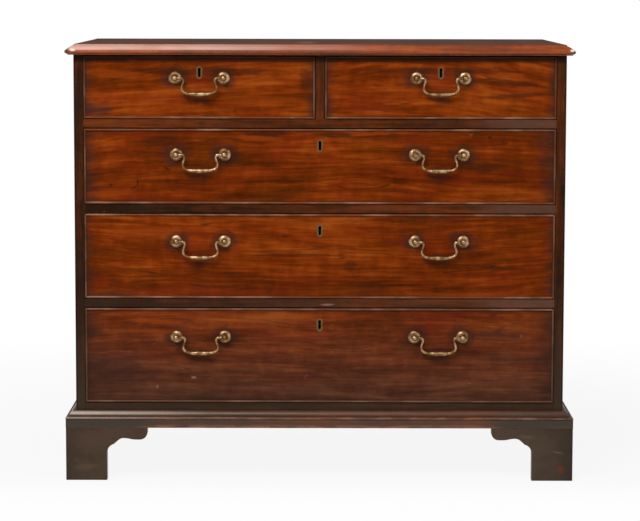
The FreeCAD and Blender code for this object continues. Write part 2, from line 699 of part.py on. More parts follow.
def make_post_set():
    """One post with its rose and nut: turned parts on an axis along -Y, from the drawer's face."""
    post = turned("handle_post", [
        ("shank_start", "0"), ("pivot_out + head_radius", "0"),
        ("head_start", "post_neck_radius", "pivot_out", "0", 1),
        ("collar_top", "post_neck_radius"), ("collar_top", "post_collar_radius"),
        ("rose_thickness", "post_collar_radius"), ("rose_thickness", "post_radius"),
        ("shank_start", "post_radius"),
    ], "-Y")
    socket = doc.addObject("Part::Cylinder", "bail_socket")
    turn(socket, (0, 1, 0), 90)
    socket.setExpression("Radius", bound("pin_radius + pin_clearance"))
    socket.setExpression("Height", bound("pin_engagement + pin_clearance + head_radius"))
    place(socket, "head_radius - pin_engagement - pin_clearance", "-pivot_out", "0")
    rose = turned("handle_rose", [
        ("0", "post_radius"), ("rose_thickness", "post_radius"), ("rose_thickness", "rose_boss"),
        ("rose_rim", "rose_radius", "rose_thickness - rose_dome_radius", "rose_boss", 1),
        ("0", "rose_radius"),
    ], "-Y")
    nut = turned("post_nut", [
        ("-front_thickness - nut_thickness", "post_radius"), ("-front_thickness", "post_radius"),
        ("-front_thickness", "nut_radius"), ("-front_thickness - nut_thickness", "nut_radius"),
    ], "-Y")
    left = group("left_post_set", [cut("bored_post", post, socket), rose, nut])
    right = place(turn(group("right_post_set", [left]), (0, 1, 0), 180), "handle_spacing / 2")
    return group("handle_post_pair", [place(group("left_post_placed", [left]), "-handle_spacing / 2"), right])


def make_bail():
    """A swan-neck bail with a baluster grip, hanging from its two pins."""
    body = doc.addObject("PartDesign::Body", "bail_bar")
    path = body.newObject("Sketcher::SketchObject", "bail_path")
    plane = next(item for item in body.Origin.OriginFeatures if item.Role == "XZ_Plane")
    path.AttachmentSupport = (plane, [""])
    path.MapMode = "FlatFace"
    route = [
        ("arm_start", "0"),
        ("shoulder_x", "0"),
        ("neck_top_x", "neck_top_z", "shoulder_x", "-shoulder_radius", 1),
        ("neck_foot_x", "neck_foot_z"),
        ("bow_end_x", "bow_end_z", "bend_x", "bend_z", -1),
        ("-(bow_end_x)", "bow_end_z", "0", "bow_rise", -1),
        ("-(neck_foot_x)", "neck_foot_z", "-(bend_x)", "bend_z", -1),
        ("-(neck_top_x)", "neck_top_z"),
        ("-(shoulder_x)", "0", "-(shoulder_x)", "-shoulder_radius", 1),
        ("-(arm_start)", "0"),
    ]
    draw_route(path, route)
    section = body.newObject("Sketcher::SketchObject", "bail_section")
    side_plane = next(item for item in body.Origin.OriginFeatures if item.Role == "YZ_Plane")
    section.AttachmentSupport = (side_plane, [""])
    section.MapMode = "FlatFace"
    section.setExpression("AttachmentOffset.Base.z", bound("arm_start"))
    circle = Part.Circle(FreeCAD.Vector(), FreeCAD.Vector(0, 0, 1), value("neck_radius"))
    ring = section.addGeometry(circle, False)
    section.addConstraint(Sketcher.Constraint("Coincident", ring, 3, -1, 1))
    number = section.addConstraint(Sketcher.Constraint("Radius", ring, value("neck_radius")))
    section.setExpression(f"Constraints[{number}]", bound("neck_radius"))
    bar = body.newObject("PartDesign::AdditivePipe", "bail_sweep")
    bar.Profile = section
    bar.Spine = path
    doc.recompute()

    grip = place(turned("bail_grip", [
        ("-grip_half_length", "0"), ("grip_half_length", "0"), ("grip_half_length", "grip_end_radius"),
        ("-grip_half_length", "grip_end_radius", "0", "grip_radius - grip_curve", 1),
    ]), z="-bail_drop")
    pins = []
    for side, angle, sign in (("right", 90, ""), ("left", -90, "-")):
        pin = doc.addObject("Part::Cylinder", f"bail_{side}_pin")
        turn(pin, (0, 1, 0), angle)
        pin.setExpression("Radius", bound("pin_radius"))
        pin.setExpression("Height", bound("pin_engagement + bail_end_gap + neck_radius"))
        pins.append(place(pin, f"{sign}(arm_start - neck_radius)"))
    return place(fused("bail", [body, grip] + pins), y="-pivot_out")


# ---------------------------------------------------------------- locks

def keyhole_outline(margin):
    """A keyhole with a margin around it, about its middle."""
    half = f"(keyhole_half_width + {margin})"
    radius = f"(keyhole_head_radius + {margin})"
    waist = f"keyhole_rise - sqrt({radius} ^ 2 - {half} ^ 2)"
    return [
        (half, "-keyhole_fall", "0", "-keyhole_fall", 1),
        (half, waist),
        (f"-{half}", waist, "0", "keyhole_rise", 1),
        (f"-{half}", "-keyhole_fall"),
    ]


def make_lock():
    """A till lock, its keyhole lining and the room they take, from the top of the drawer front."""
    hole_z = "drawer_top_gap - keyhole_drop"
    case = box("lock_case_block", "-lock_width / 2", "front_thickness - lock_depth", "-lock_height",
               "lock_width", "lock_depth", "lock_height - selvedge_thickness")
    plate = box("lock_top_plate_blank", "-lock_width / 2", "front_thickness - lock_depth",
                "-selvedge_thickness", "lock_width", "lock_depth", "selvedge_thickness")
    slot = box("bolt_slot", "-bolt_width / 2 - bolt_clearance",
               "bolt_middle_y - bolt_thickness / 2 - bolt_clearance", "-bolt_length - bolt_clearance",
               "bolt_width + 2 * bolt_clearance", "bolt_thickness + 2 * bolt_clearance",
               "bolt_length + 2 * bolt_clearance")
    recess = place(sawn("key_recess_room", "XZ_Plane", [keyhole_outline("0")],
                        "front_thickness - lock_depth", "key_recess"), z=hole_z)
    hollow = group("lock_hollow", [slot, recess])
    pin = doc.addObject("Part::Cylinder", "key_pin")
    turn(pin, (1, 0, 0), -90)
    pin.setExpression("Radius", bound("key_pin_radius"))
    pin.setExpression("Height", bound("key_recess"))
    place(pin, "0", "front_thickness - lock_depth", f"{hole_z} + keyhole_rise")
    lining_ring = sawn("escutcheon_ring", "XZ_Plane",
                       [keyhole_outline("escutcheon_rim"), keyhole_outline("0")],
                       "-escutcheon_projection", "escutcheon_projection + escutcheon_depth")
    lining = place(lining_ring, z=hole_z)
    slotted_plate = cut("lock_top_plate", plate, slot)
    lock = group("till_lock", [cut("lock_case", case, hollow), slotted_plate, pin, lining])
    keyway = place(sawn("keyway_room", "XZ_Plane", [keyhole_outline("0")], "0",
                        "front_thickness - lock_depth"), z=hole_z)
    rebate = place(sawn("escutcheon_room", "XZ_Plane", [keyhole_outline("escutcheon_rim")], "0",
                        "escutcheon_depth"), z=hole_z)
    room = group("lock_room", [case, plate, keyway, rebate])
    bolt = box("lock_bolt", "-bolt_width / 2", "bolt_middle_y - bolt_thickness / 2", "-bolt_length",
               "bolt_width", "bolt_thickness", "bolt_length")
    return lock, room, bolt


# ---------------------------------------------------------------- drawers

def bead_strip(name, length):
    """A cock bead along X: outer edge at Z = 0, rounded nose to -Y, mitred at both ends."""
    nose_radius = "bead_width / 2"
    run = sawn(name + "_run", "YZ_Plane", [[
        ("bead_rebate", "0"), (f"{nose_radius} - bead_projection", "0"),
        (f"{nose_radius} - bead_projection", "-bead_width", f"{nose_radius} - bead_projection",
         f"-{nose_radius}", 1),
        ("bead_rebate", "-bead_width"),
    ]], f"-({length}) / 2", length)
    plan = sawn(name + "_plan", "XZ_Plane", [[
        (f"-({length}) / 2", "0"), (f"({length}) / 2", "0"),
        (f"({length}) / 2 - bead_width", "-bead_width"), (f"bead_width - ({length}) / 2", "-bead_width"),
    ]], "-bead_projection", "bead_projection + bead_rebate")
    return common(name, run, plan)


def make_drawer_side(tier, width, top):
    """A drawer's left side: a board with dovetails at both ends."""
    height = f"({top} - drawer_side_drop - drawer_seat_gap)"
    pitch = f"({height} / {tier}_tails)"
    body = sawn(f"{tier}_side_board", "YZ_Plane",
                [rectangle("front_thickness", "drawer_seat_gap",
                           "drawer_depth - front_thickness - drawer_side_thickness", height)],
                f"-({width}) / 2", "drawer_side_thickness")
    tails = []
    rear_root = "drawer_depth - drawer_side_thickness"
    for end, root, depth, sign in (("front", "front_thickness", "tail_depth", "-"),
                                   ("rear", rear_root, "drawer_side_thickness", "+")):
        half_root = f"({pitch} - tail_gap) / 2"
        spread = f"{depth} * tan(tail_angle * 1 deg)"
        middle = f"drawer_seat_gap + {pitch} / 2"
        tip = f"{root} {sign} {depth}"
        outline = [(root, f"{middle} - {half_root}"), (tip, f"{middle} - {half_root} - {spread}"),
                   (tip, f"{middle} + {half_root} + {spread}"), (root, f"{middle} + {half_root}")]
        tails.append(pad_on(body, f"{tier}_{end}_tail", "YZ_Plane", [outline],
                            f"-({width}) / 2", "drawer_side_thickness"))
        pattern = body.newObject("PartDesign::LinearPattern", f"{tier}_{end}_tails")
        pattern.Originals = [tails[-1]]
        pattern.Direction = (tails[-1].Profile[0], ["V_Axis"])
        pattern.setExpression("Length", bound(f"{pitch} * ({tier}_tails - 1)"))
        pattern.setExpression("Occurrences", bound(f"{tier}_tails"))
        body.Tip = pattern
    return body


def make_drawer(tier, width, lock, room, posts, handle_places):
    """The pieces of one size of drawer, about the middle of its face, from the rail below it."""
    top = f"({tier}_opening - drawer_top_gap)"
    bottom = box(f"{tier}_bottom_board", f"drawer_side_thickness - ({width}) / 2 - groove_depth",
                 "front_thickness - groove_depth", "drawer_bottom_raise",
                 f"{width} - 2 * (drawer_side_thickness - groove_depth)",
                 "drawer_depth - front_thickness + groove_depth - drawer_bottom_margin",
                 "drawer_bottom_thickness")
    side = cut(f"{tier}_side_grooved", make_drawer_side(tier, width, top), bottom)
    sides = group(f"{tier}_sides", [side, mirrored(f"{tier}_side_mirrored", side, (1, 0, 0))])
    back_board = box(f"{tier}_back_blank", f"-({width}) / 2", "drawer_depth - drawer_side_thickness",
                     "back_edge", width, "drawer_side_thickness",
                     f"{top} - drawer_side_drop - drawer_back_drop - back_edge")
    frame = group(f"{tier}_box", [sides, cut(f"{tier}_back", back_board, sides)])

    beads = []
    height = f"({top} - front_lift)"
    across = bead_strip(f"{tier}_bead_across", width)
    upright = bead_strip(f"{tier}_bead_upright", height)
    for edge, strip, angle, x, z in (("top", across, 0, "0", top),
                                     ("bottom", across, 180, "0", "front_lift"),
                                     ("left", upright, -90, f"-({width}) / 2", f"front_lift + {height} / 2"),
                                     ("right", upright, 90, f"({width}) / 2", f"front_lift + {height} / 2")):
        beads.append(place(turn(group(f"{tier}_{edge}_bead", [strip]), (0, 1, 0), angle), x, "0", z))
    bead_set = group(f"{tier}_bead_set", beads)

    handle_z = f"{tier}_opening - {tier}_handle_drop"
    fitted_lock = place(group(f"{tier}_lock_fitted", [lock]), z=top)
    fitted_room = place(group(f"{tier}_lock_room", [room]), z=top)
    handle_sets = [place(group(f"{tier}_posts_{index}", [posts]), x, "0", handle_z)
                   for index, x in enumerate(handle_places)]
    post_group = group(f"{tier}_post_sets", handle_sets)
    blank = box(f"{tier}_front_blank", f"-({width}) / 2", "0", "front_lift", width, "front_thickness", height)
    front = cut(f"{tier}_front", blank,
                group(f"{tier}_let_in", [frame, bottom, bead_set, fitted_room, post_group]))
    return {"front": front, "cock_beads": bead_set, "box": frame, "bottom": bottom,
            "lock": fitted_lock, "handle_posts": post_group}


def make_drawers():
    """Five drawers: the short pair share their pieces' sizes, and each long one has its own."""
    lock, room, bolt = make_lock()
    posts = make_post_set()
    bail = make_bail()
    long_places = [("left", "-long_handle_offset"), ("right", "long_handle_offset")]
    drawers = [("short", "short_front_width", "short_left_drawer", "-short_middle", [("", "0")]),
               ("short", "short_front_width", "short_right_drawer", "short_middle", [("", "0")]),
               ("upper", "long_front_width", "upper_drawer", "0", long_places),
               ("middle", "long_front_width", "middle_drawer", "0", long_places),
               ("lower", "long_front_width", "lower_drawer", "0", long_places)]
    made = {}
    for tier, width, name, middle_x, handle_places in drawers:
        if tier not in made:
            made[tier] = make_drawer(tier, width, lock, room, posts, [x for _, x in handle_places])
        for piece, source in made[tier].items():
            node(f"{name}_{piece}", source, middle_x, "front_y", f"{tier}_level")
        node(f"{name}_lock_bolt", bolt, middle_x, "front_y", f"{tier}_top - drawer_top_gap")
        for side, offset in handle_places:
            label = f"{name}_{side}_bail" if side else f"{name}_bail"
            node(label, bail, f"{middle_x} + {offset}", "front_y", f"{tier}_top - {tier}_handle_drop")


def check_document():
    """Stop if an object failed, a sub-part is not valid, or a cut took nothing away."""
    for item in doc.Objects:
        if "Invalid" in item.State or "Error" in item.State:
            raise RuntimeError(f"{item.Name} failed: {item.State}")
        if item.TypeId == "Part::Cut" and item.Shape.Volume >= item.Base.Shape.Volume - 1e-6:
            raise RuntimeError(f"{item.Name} cuts nothing")
    for part in nodes:
        if part.Shape.isNull() or not part.Shape.isValid() or not part.Shape.Solids:
            raise RuntimeError(f"{part.Label} is not a valid solid")


make_top()
make_carcase()
make_base_moulding()
make_feet()
make_drawers()
doc.recompute()
check_document()

os.makedirs("parts", exist_ok=True)
for part in nodes:
    part.Shape.exportStep(f"parts/{part.Label}.step")
print(len(nodes), "sub-parts")
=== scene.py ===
"""Finish and staging for a straight-front mahogany chest of drawers.

The packed chest is loaded as it stands. Each operator below dresses one group of its pieces, or
makes the brass handles that stand in for the plain ones, and the last one sets the stage.
Lengths are metres. The front faces -Y, +X is to the right seen from the front, the floor is Z = 0.
"""

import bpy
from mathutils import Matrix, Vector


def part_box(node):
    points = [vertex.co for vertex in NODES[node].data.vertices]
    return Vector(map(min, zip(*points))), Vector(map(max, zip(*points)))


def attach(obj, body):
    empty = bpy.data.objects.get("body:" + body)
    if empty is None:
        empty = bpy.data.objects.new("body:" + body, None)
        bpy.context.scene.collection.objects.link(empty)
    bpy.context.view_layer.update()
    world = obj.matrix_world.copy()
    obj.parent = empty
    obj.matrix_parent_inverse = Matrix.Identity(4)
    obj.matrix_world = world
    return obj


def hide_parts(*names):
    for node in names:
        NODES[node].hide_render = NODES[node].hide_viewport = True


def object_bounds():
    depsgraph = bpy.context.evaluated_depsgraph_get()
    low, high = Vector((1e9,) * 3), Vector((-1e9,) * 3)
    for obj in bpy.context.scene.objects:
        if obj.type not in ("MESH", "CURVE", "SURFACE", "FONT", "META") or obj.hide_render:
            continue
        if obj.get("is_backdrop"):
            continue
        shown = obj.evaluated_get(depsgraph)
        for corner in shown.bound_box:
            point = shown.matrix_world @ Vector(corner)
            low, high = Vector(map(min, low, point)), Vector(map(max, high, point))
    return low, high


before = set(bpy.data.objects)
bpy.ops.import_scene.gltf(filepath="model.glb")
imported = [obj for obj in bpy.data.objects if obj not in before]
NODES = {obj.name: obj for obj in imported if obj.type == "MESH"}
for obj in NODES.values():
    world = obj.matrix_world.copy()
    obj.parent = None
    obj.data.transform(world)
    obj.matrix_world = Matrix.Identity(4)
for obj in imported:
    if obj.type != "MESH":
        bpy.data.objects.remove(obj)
CAD_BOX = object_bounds()

import inspect
import math

import bmesh
import bpy
from bpy.props import FloatProperty, FloatVectorProperty, PointerProperty
from mathutils import Euler, Vector

bl_info = {
    "name": "Chest of drawers finish",
    "version": (1, 0, 0),
    "blender": (4, 5, 0),
    "location": "View3D > Sidebar > Chest",
    "description": "Wood, brass and staging for a mahogany chest of drawers",
    "category": "Object",
}

BOTH_SIDES = (-1, 1)
LONG_DRAWERS = ("upper_drawer", "middle_drawer", "lower_drawer")
SHORT_DRAWERS = ("short_left_drawer", "short_right_drawer")
DRAWERS = SHORT_DRAWERS + LONG_DRAWERS


def paint(red, green, blue):
    """A colour given in the usual 0 to 255 steps, as the linear values that Blender keeps."""
    def linear(step):
        share = step / 255
        return share / 12.92 if share <= 0.04045 else ((share + 0.055) / 1.055) ** 2.4
    return tuple(linear(step) for step in (red, green, blue))


def colour_prop(name, description, default):
    """A colour that the user can change."""
    return FloatVectorProperty(name=name, description=description, subtype="COLOR", size=3,
                               min=0.0, max=1.0, default=paint(*default))


def length_prop(name, description, default):
    """A length that the user can change, in metres."""
    return FloatProperty(name=name, description=description, default=default, min=0.0, unit="LENGTH")


# ---------------------------------------------------------------- settings

class WoodSettings(bpy.types.PropertyGroup):
    """Colours of the woods, and how softly their edges are worn."""
    streak: colour_prop("Streak", "Brightest streaks of the drawer fronts", (154, 72, 20))
    light: colour_prop("Light", "Light figure of the drawer fronts", (134, 54, 9))
    middle: colour_prop("Middle", "Most of a drawer front", (108, 40, 4))
    dark: colour_prop("Dark", "Dark figure of the drawer fronts", (66, 24, 3))
    vein: colour_prop("Vein", "Thin dark lines in the figure", (44, 18, 8))
    # Also the colour of painted shade: in corners, on the upright beads and below the grips.
    patina: colour_prop("Patina", "Handled and waxed dirt at the edges", (50, 33, 27))
    haze: colour_prop("Haze", "Dust of the floor in the wax, low down", (75, 63, 52))
    carcase_light: colour_prop("Carcase light", "Light figure of the carcase", (116, 52, 18))
    carcase_middle: colour_prop("Carcase middle", "Most of the carcase", (76, 35, 13))
    carcase_dark: colour_prop("Carcase dark", "Dark figure of the carcase", (38, 19, 9))
    top_light: colour_prop("Top light", "Light figure of the top's moulding", (172, 80, 22))
    top_middle: colour_prop("Top middle", "Most of the top's moulding", (132, 54, 12))
    top_dark: colour_prop("Top dark", "Dark figure of the top's moulding", (80, 38, 18))
    top_surface: colour_prop("Top surface", "Dulled upper surface of the top", (50, 34, 24))
    bead: colour_prop("Bead", "Cock beads", (110, 70, 50))
    worn: colour_prop("Worn", "Wood laid bare along an edge", (150, 104, 80))
    oak_light: colour_prop("Oak light", "Light figure of the drawer linings", (176, 136, 88))
    oak_dark: colour_prop("Oak dark", "Dark figure of the drawer linings", (112, 78, 46))
    pine_light: colour_prop("Pine light", "Light figure of the boards behind and below", (150, 112, 70))
    pine_dark: colour_prop("Pine dark", "Dark figure of the same boards", (88, 60, 38))
    edge_radius: length_prop("Edge", "Round of the boards' edges", 0.0008)


class BrassSettings(bpy.types.PropertyGroup):
    """Sizes of the handles, and colours of the metals."""
    post_spacing: length_prop("Spacing", "Between the two posts of a handle", 0.102)
    pivot_out: length_prop("Reach", "Drawer front to the bail's axis", 0.0135)
    rose_radius: length_prop("Rose", "Radius of the plate behind a post", 0.014)
    head_radius: length_prop("Head", "Radius of a post's ball", 0.006)
    bar_radius: length_prop("Bar", "Radius of the bail's bar", 0.00255)
    grip_radius: length_prop("Grip", "Radius of the bail's thick middle", 0.0049)
    bail_drop: length_prop("Drop", "Pivot to the middle of the grip", 0.034)
    polish: colour_prop("Polish", "Brass where hands keep it bright", (198, 162, 126))
    brass: colour_prop("Brass", "Most of the brass", (138, 102, 60))
    # Also the colour of the painted shade on the brass and inside the keyholes, and of rust on the iron.
    tarnish: colour_prop("Tarnish", "Brass in its hollows", (60, 37, 20))
    lining: colour_prop("Lining", "Brass around the keyholes", (108, 87, 58))
    iron: colour_prop("Iron", "Lock bolts", (120, 116, 110))


class StageSettings(bpy.types.PropertyGroup):
    """Camera, lamps and floor."""
    camera_distance: length_prop("Distance", "Camera to the front edge of the top", 4.5939)
    camera_height: length_prop("Height", "Camera above the floor", 1.0447)
    camera_pitch: FloatProperty(name="Pitch", description="Camera turned down", subtype="ANGLE",
                                default=math.radians(5.447))
    camera_roll: FloatProperty(name="Roll", description="Camera leaned to its left", subtype="ANGLE",
                               default=math.radians(0.118))
    camera_side: FloatProperty(name="Side", description="Camera to the right of the middle", default=-0.0006,
                               unit="LENGTH")
    lens: FloatProperty(name="Lens", description="Focal length in millimetres", default=123.443)
    shift: FloatProperty(name="Shift", description="Picture moved along its height", default=-0.1)
    key_power: FloatProperty(name="Key", description="Lamp at the front left", default=115.0,
                             subtype="POWER", unit="POWER")
    fill_power: FloatProperty(name="Fill", description="Lamp at the front right", default=22.0,
                              subtype="POWER", unit="POWER")
    floor: colour_prop("Floor", "Pale floor", (205, 205, 203))
    floor_radius: length_prop("Floor radius", "Floor around the chest", 400.0)
    floor_glow: FloatProperty(name="Floor glow", description="How nearly white the floor is near the chest",
                              default=0.9, min=0.0, max=1.0)
    sky_low: FloatProperty(name="Sky low", description="Light from the horizon", default=0.16)
    sky_high: FloatProperty(name="Sky high", description="Light from overhead", default=0.42)


# ---------------------------------------------------------------- shader sums

class Wire:
    """A number, vector or colour that varies over the surface: a node's output, ready for sums."""

    def __init__(self, socket):
        self.socket = socket
        self.tree = socket.id_data

    def math(self, operation, *others, clamp=False):
        """This value with others, through a Math node."""
        node = add_node(self.tree, "Math", (self, *others), operation=operation, use_clamp=clamp)
        return Wire(node.outputs[0])

    def vector(self, operation, other):
        """This vector with another, through a Vector Math node."""
        return Wire(add_node(self.tree, "VectorMath", (self, other), operation=operation).outputs[0])

    def parts(self):
        """The three numbers of this vector."""
        return [Wire(socket) for socket in add_node(self.tree, "SeparateXYZ", (self,)).outputs]

    def rise(self, low, high, to_low=0.0, to_high=1.0):
        """to_low below low, to_high above high, and smooth between them."""
        node = add_node(self.tree, "MapRange", (self, low, high, to_low, to_high),
                        interpolation_type="SMOOTHSTEP")
        return Wire(node.outputs[0])

    def fall(self, low, high):
        """1 below low, 0 above high, and smooth between them."""
        return self.rise(low, high, 1.0, 0.0)

    def band(self, start, full, fading, gone):
        """1 from full to fading, 0 before start and past gone, and smooth between them."""
        return self.rise(start, full) * self.fall(fading, gone)

    def __add__(self, other):
        return self.math("ADD", other)

    def __sub__(self, other):
        return self.math("SUBTRACT", other)

    def __rsub__(self, other):
        return (self * -1.0) + other

    def __mul__(self, other):
        return self.math("MULTIPLY", other)

    def __truediv__(self, other):
        return self.math("DIVIDE", other)

    def __abs__(self):
        return self.math("ABSOLUTE")

    def most(self, other):
        """The greater of this value and another."""
        return self.math("MAXIMUM", other)


def feed(socket, source):
    """Join a socket to a wire, or give it a plain value."""
    if isinstance(source, Wire):
        source.tree.links.new(source.socket, socket)
    elif socket.type == "RGBA":
        socket.default_value = (*source, 1.0)
    else:
        socket.default_value = source


def add_node(tree, kind, sources=(), **settings):
    """A shader node with its settings; sources feed its inputs, in their order or by name or number."""
    node = tree.nodes.new("ShaderNode" + kind)
    for name, value in settings.items():
        setattr(node, name, value)
    for place, source in sources.items() if isinstance(sources, dict) else enumerate(sources):
        feed(node.inputs[place], source)
    return node


def joined(x, y, z):
    """Three numbers as one vector."""
    tree = next(part.tree for part in (x, y, z) if isinstance(part, Wire))
    return Wire(add_node(tree, "CombineXYZ", (x, y, z)).outputs[0])


def length(vector):
    """How long a vector is."""
    return Wire(add_node(vector.tree, "VectorMath", (vector,), operation="LENGTH").outputs["Value"])


def noise(vector, scale=1.0, detail=2.0, roughness=0.5, distortion=0.0):
    """Cloudy values about 0.5, at a scale in features per unit of the vector."""
    node = add_node(vector.tree, "TexNoise", {"Vector": vector, "Scale": scale, "Detail": detail,
                                              "Roughness": roughness, "Distortion": distortion})
    return Wire(node.outputs[0])


# A Mix node has two inputs and an output for each kind of value, told apart only by their numbers.
MIX_SOCKETS = {"VECTOR": (4, 5, 1), "RGBA": (6, 7, 2)}


def blend(factor, first, second, kind="RGBA"):
    """The first colour or vector, with the second over it by a factor."""
    below, above, result = MIX_SOCKETS[kind]
    node = add_node(factor.tree, "Mix", {0: factor, below: first, above: second}, data_type=kind)
    return Wire(node.outputs[result])


def ramp(factor, *stops):
    """Colours by value; each stop is a place from 0 to 1 and a colour."""
    node = add_node(factor.tree, "ValToRGB", (factor,))
    elements = node.color_ramp.elements
    while len(elements) < len(stops):
        elements.new(0.5)
    for element, (position, colour) in zip(elements, stops):
        element.position = position
        element.color = (*colour, 1.0)
    return Wire(node.outputs[0])


# Arguments of the shared effects that are vectors; their other arguments are numbers.
VECTOR_INPUTS = ("vector", "centre", "size", "half_size")


def label(name):
    """A socket's label for an argument's name."""
    return name.replace("_", " ").capitalize()


def shared_effect(*outputs):
    """Make a function of wires into one node group; each call places it in the tree of its vector."""
    def wrap(build):
        arguments = list(inspect.signature(build).parameters)

        def make_group(name):
            tree = bpy.data.node_groups.new(name, "ShaderNodeTree")
            for argument in arguments:
                kind = "NodeSocketVector" if argument in VECTOR_INPUTS else "NodeSocketFloat"
                tree.interface.new_socket(name=label(argument), in_out="INPUT", socket_type=kind)
            for output in outputs:
                tree.interface.new_socket(name=output, in_out="OUTPUT", socket_type="NodeSocketFloat")
            entry = tree.nodes.new("NodeGroupInput")
            leave = tree.nodes.new("NodeGroupOutput")
            made = build(*[Wire(entry.outputs[label(argument)]) for argument in arguments])
            for output, wire in zip(outputs, made):
                feed(leave.inputs[output], wire)
            return tree

        def place(**values):
            name = label(build.__name__)
            group = bpy.data.node_groups.get(name) or make_group(name)
            sources = {label(argument): source for argument, source in values.items()}
            node = add_node(values["vector"].tree, "Group", sources, node_tree=group)
            wires = [Wire(socket) for socket in node.outputs]
            return wires if len(wires) > 1 else wires[0]
        place.__doc__ = build.__doc__
        return place
    return wrap


# ---------------------------------------------------------------- shared effects

@shared_effect("Figure", "Vein", "Pore")
def wood_figure(vector, seed, wander):
    """Figure of a board whose grain runs along the vector's first part.

    Figure is the broad light and dark, vein the thin dark lines, pore the finest marks.
    """
    x, y, z = vector.vector("ADD", joined(seed * 3.7, seed * 1.3, seed * 2.9)).parts()
    drift = noise(joined(x * 2.2, y * 5.0, z * 6.0), detail=2.0) - 0.5
    y = y + drift * wander
    z = z + drift * wander
    cloud = noise(joined(x * 3.0, y * 10.0, z * 10.0), detail=2.0)
    broad = noise(joined(x * 4.5, y * 46.0, z * 46.0), detail=2.0, distortion=0.12)
    streak = noise(joined(x * 8.0, y * 135.0, z * 135.0), detail=3.0, roughness=0.65)
    mottle = noise(joined(x * 48.0, y * 30.0, z * 40.0), detail=3.0)
    pore = noise(joined(x * 60.0, y * 800.0, z * 800.0), detail=2.0)
    sums = ((cloud - 0.5) * 0.9 + (broad - 0.5) * 1.0 + (streak - 0.5) * 1.35
            + (mottle - 0.5) * 0.55 + (pore - 0.5) * 0.35)
    figure = (sums + 0.5).math("MAXIMUM", 0.0, clamp=True)
    line = abs(noise(joined(x * 2.4, y * 30.0, z * 30.0), detail=1.0) - 0.5)
    vein = line.fall(0.003, 0.016) * streak.rise(0.44, 0.62)
    return figure, vein, pore


@shared_effect("Mask")
def rubbed_border(vector, centre, half_size, end_reach, edge_reach, seed):
    """How near a point is to the ends and edges of a flat board, broken up along the grain."""
    x, _, z = vector.vector("SUBTRACT", centre).parts()
    half_x, _, half_z = half_size.parts()
    place = vector.vector("ADD", joined(seed, seed, seed))
    streaks = noise(place.vector("MULTIPLY", (12.0, 30.0, 85.0)), detail=3.0) - 0.5
    cloud = noise(place.vector("MULTIPLY", (22.0, 22.0, 22.0))) - 0.5
    broken = streaks * 1.4 + cloud * 0.9
    end = (half_x - abs(x)) + broken * end_reach
    edge = (half_z - abs(z)) + broken * edge_reach
    return [(end / end_reach).fall(-0.3, 1.3).most((edge / edge_reach).rise(-0.2, 1.1, 0.75, 0.0))]


@shared_effect("Mask")
def handle_dirt(vector, offset, half_spacing, pivot, drop):
    """Dark wax and dirt around the roses and below the grips, which cloths don't reach."""
    x, _, z = vector.parts()
    cloud = noise(vector, 55.0, 3.0) - 0.5
    from_middle = abs(x) - offset
    from_post = abs(from_middle) - half_spacing
    up = z - pivot
    rose = length(joined(from_post * 0.8, 0.0, up)) + cloud * 0.03
    grip = length(joined(from_middle * 0.55, 0.0, up + drop + 0.006)) + cloud * 0.03
    return [rose.fall(0.013, 0.03).most(grip.rise(0.006, 0.022, 0.8, 0.0))]


@shared_effect("Scratch", "Speck")
def old_marks(vector, density, seed):
    """Short straight scratches and small specks."""
    x, y, z = vector.vector("ADD", joined(seed, seed * 0.7, seed * 1.9)).parts()
    lines = []
    for turn in (0.6, -0.35):
        drawn = joined(x * 9.0 + z * (9.0 * turn), y * 9.0, z * 90.0 - x * (90.0 * turn))
        lines.append(abs(noise(drawn, detail=0.0) - 0.5).fall(0.002, 0.012))
    short = noise(joined(x, y, z), 45.0, 1.0) + density * 0.05
    scratch = lines[0].most(lines[1]) * short.rise(0.74, 0.78)
    speck = (noise(joined(x, y, z), 260.0, 1.0) + density * 0.04).rise(0.8, 0.86)
    return scratch, speck


@shared_effect("Mask")
def stain(vector, centre, size, slope, seed):
    """One soft patch on a face seen along Y, ragged along the grain, on a slope."""
    x, _, z = vector.vector("SUBTRACT", centre).parts()
    width, _, height = size.parts()
    across = (z - x * slope) / height
    ragged = noise(joined(x * 30.0 + seed, seed, z * 150.0), detail=3.0) - 0.5
    reach = length(joined(x / width, 0.0, across)) + ragged * 1.5
    return [reach.fall(0.45, 1.15)]


@shared_effect("Mask")
def edge_wear(vector, radius, amount):
    """Where an arris is rubbed through, from how sharply the surface turns."""
    rounded = add_node(vector.tree, "Bevel", {"Radius": radius}, samples=4)
    facing = add_node(vector.tree, "NewGeometry")
    normals = [Wire(node.outputs["Normal"]) for node in (rounded, facing)]
    agree = add_node(vector.tree, "VectorMath", normals, operation="DOT_PRODUCT")
    turn = Wire(agree.outputs["Value"]).fall(0.8, 0.995)
    rough = noise(vector, 130.0, 3.0) + (noise(vector, 9.0, 1.0) - 0.5) * 0.9
    return [turn * (rough + amount).rise(0.5, 0.72)]


@shared_effect("Mask")
def corner_dirt(vector, reach):
    """Dirt that gathers where two surfaces meet."""
    shade = add_node(vector.tree, "AmbientOcclusion", {"Distance": reach}, samples=6)
    closed = Wire(shade.outputs["AO"]) + (noise(vector, 60.0, 3.0) - 0.5) * 0.5
    return [closed.fall(0.35, 0.8)]


# ---------------------------------------------------------------- materials

FRONT_GLOSS = 0.08
BEAD_WIDTH = 0.004
# Heights between which the floor's dust fades and a side's tone turns, and where along X a rail's tone turns.
HAZE_FADES = (0.06, 0.46)
SIDE_TONE_TURNS = (0.25, 0.85)
RAIL_TONE_TURNS = (-0.35, 0.35)
# How far below the top the painted shadow of the overhang starts, and is full.
OVERHANG_SHADE = (0.0195, 0.0105)
# How far in from a side's outer face its painted shade along the arris starts, and is full.
DARK_ARRIS = (0.0045, 0.0015)
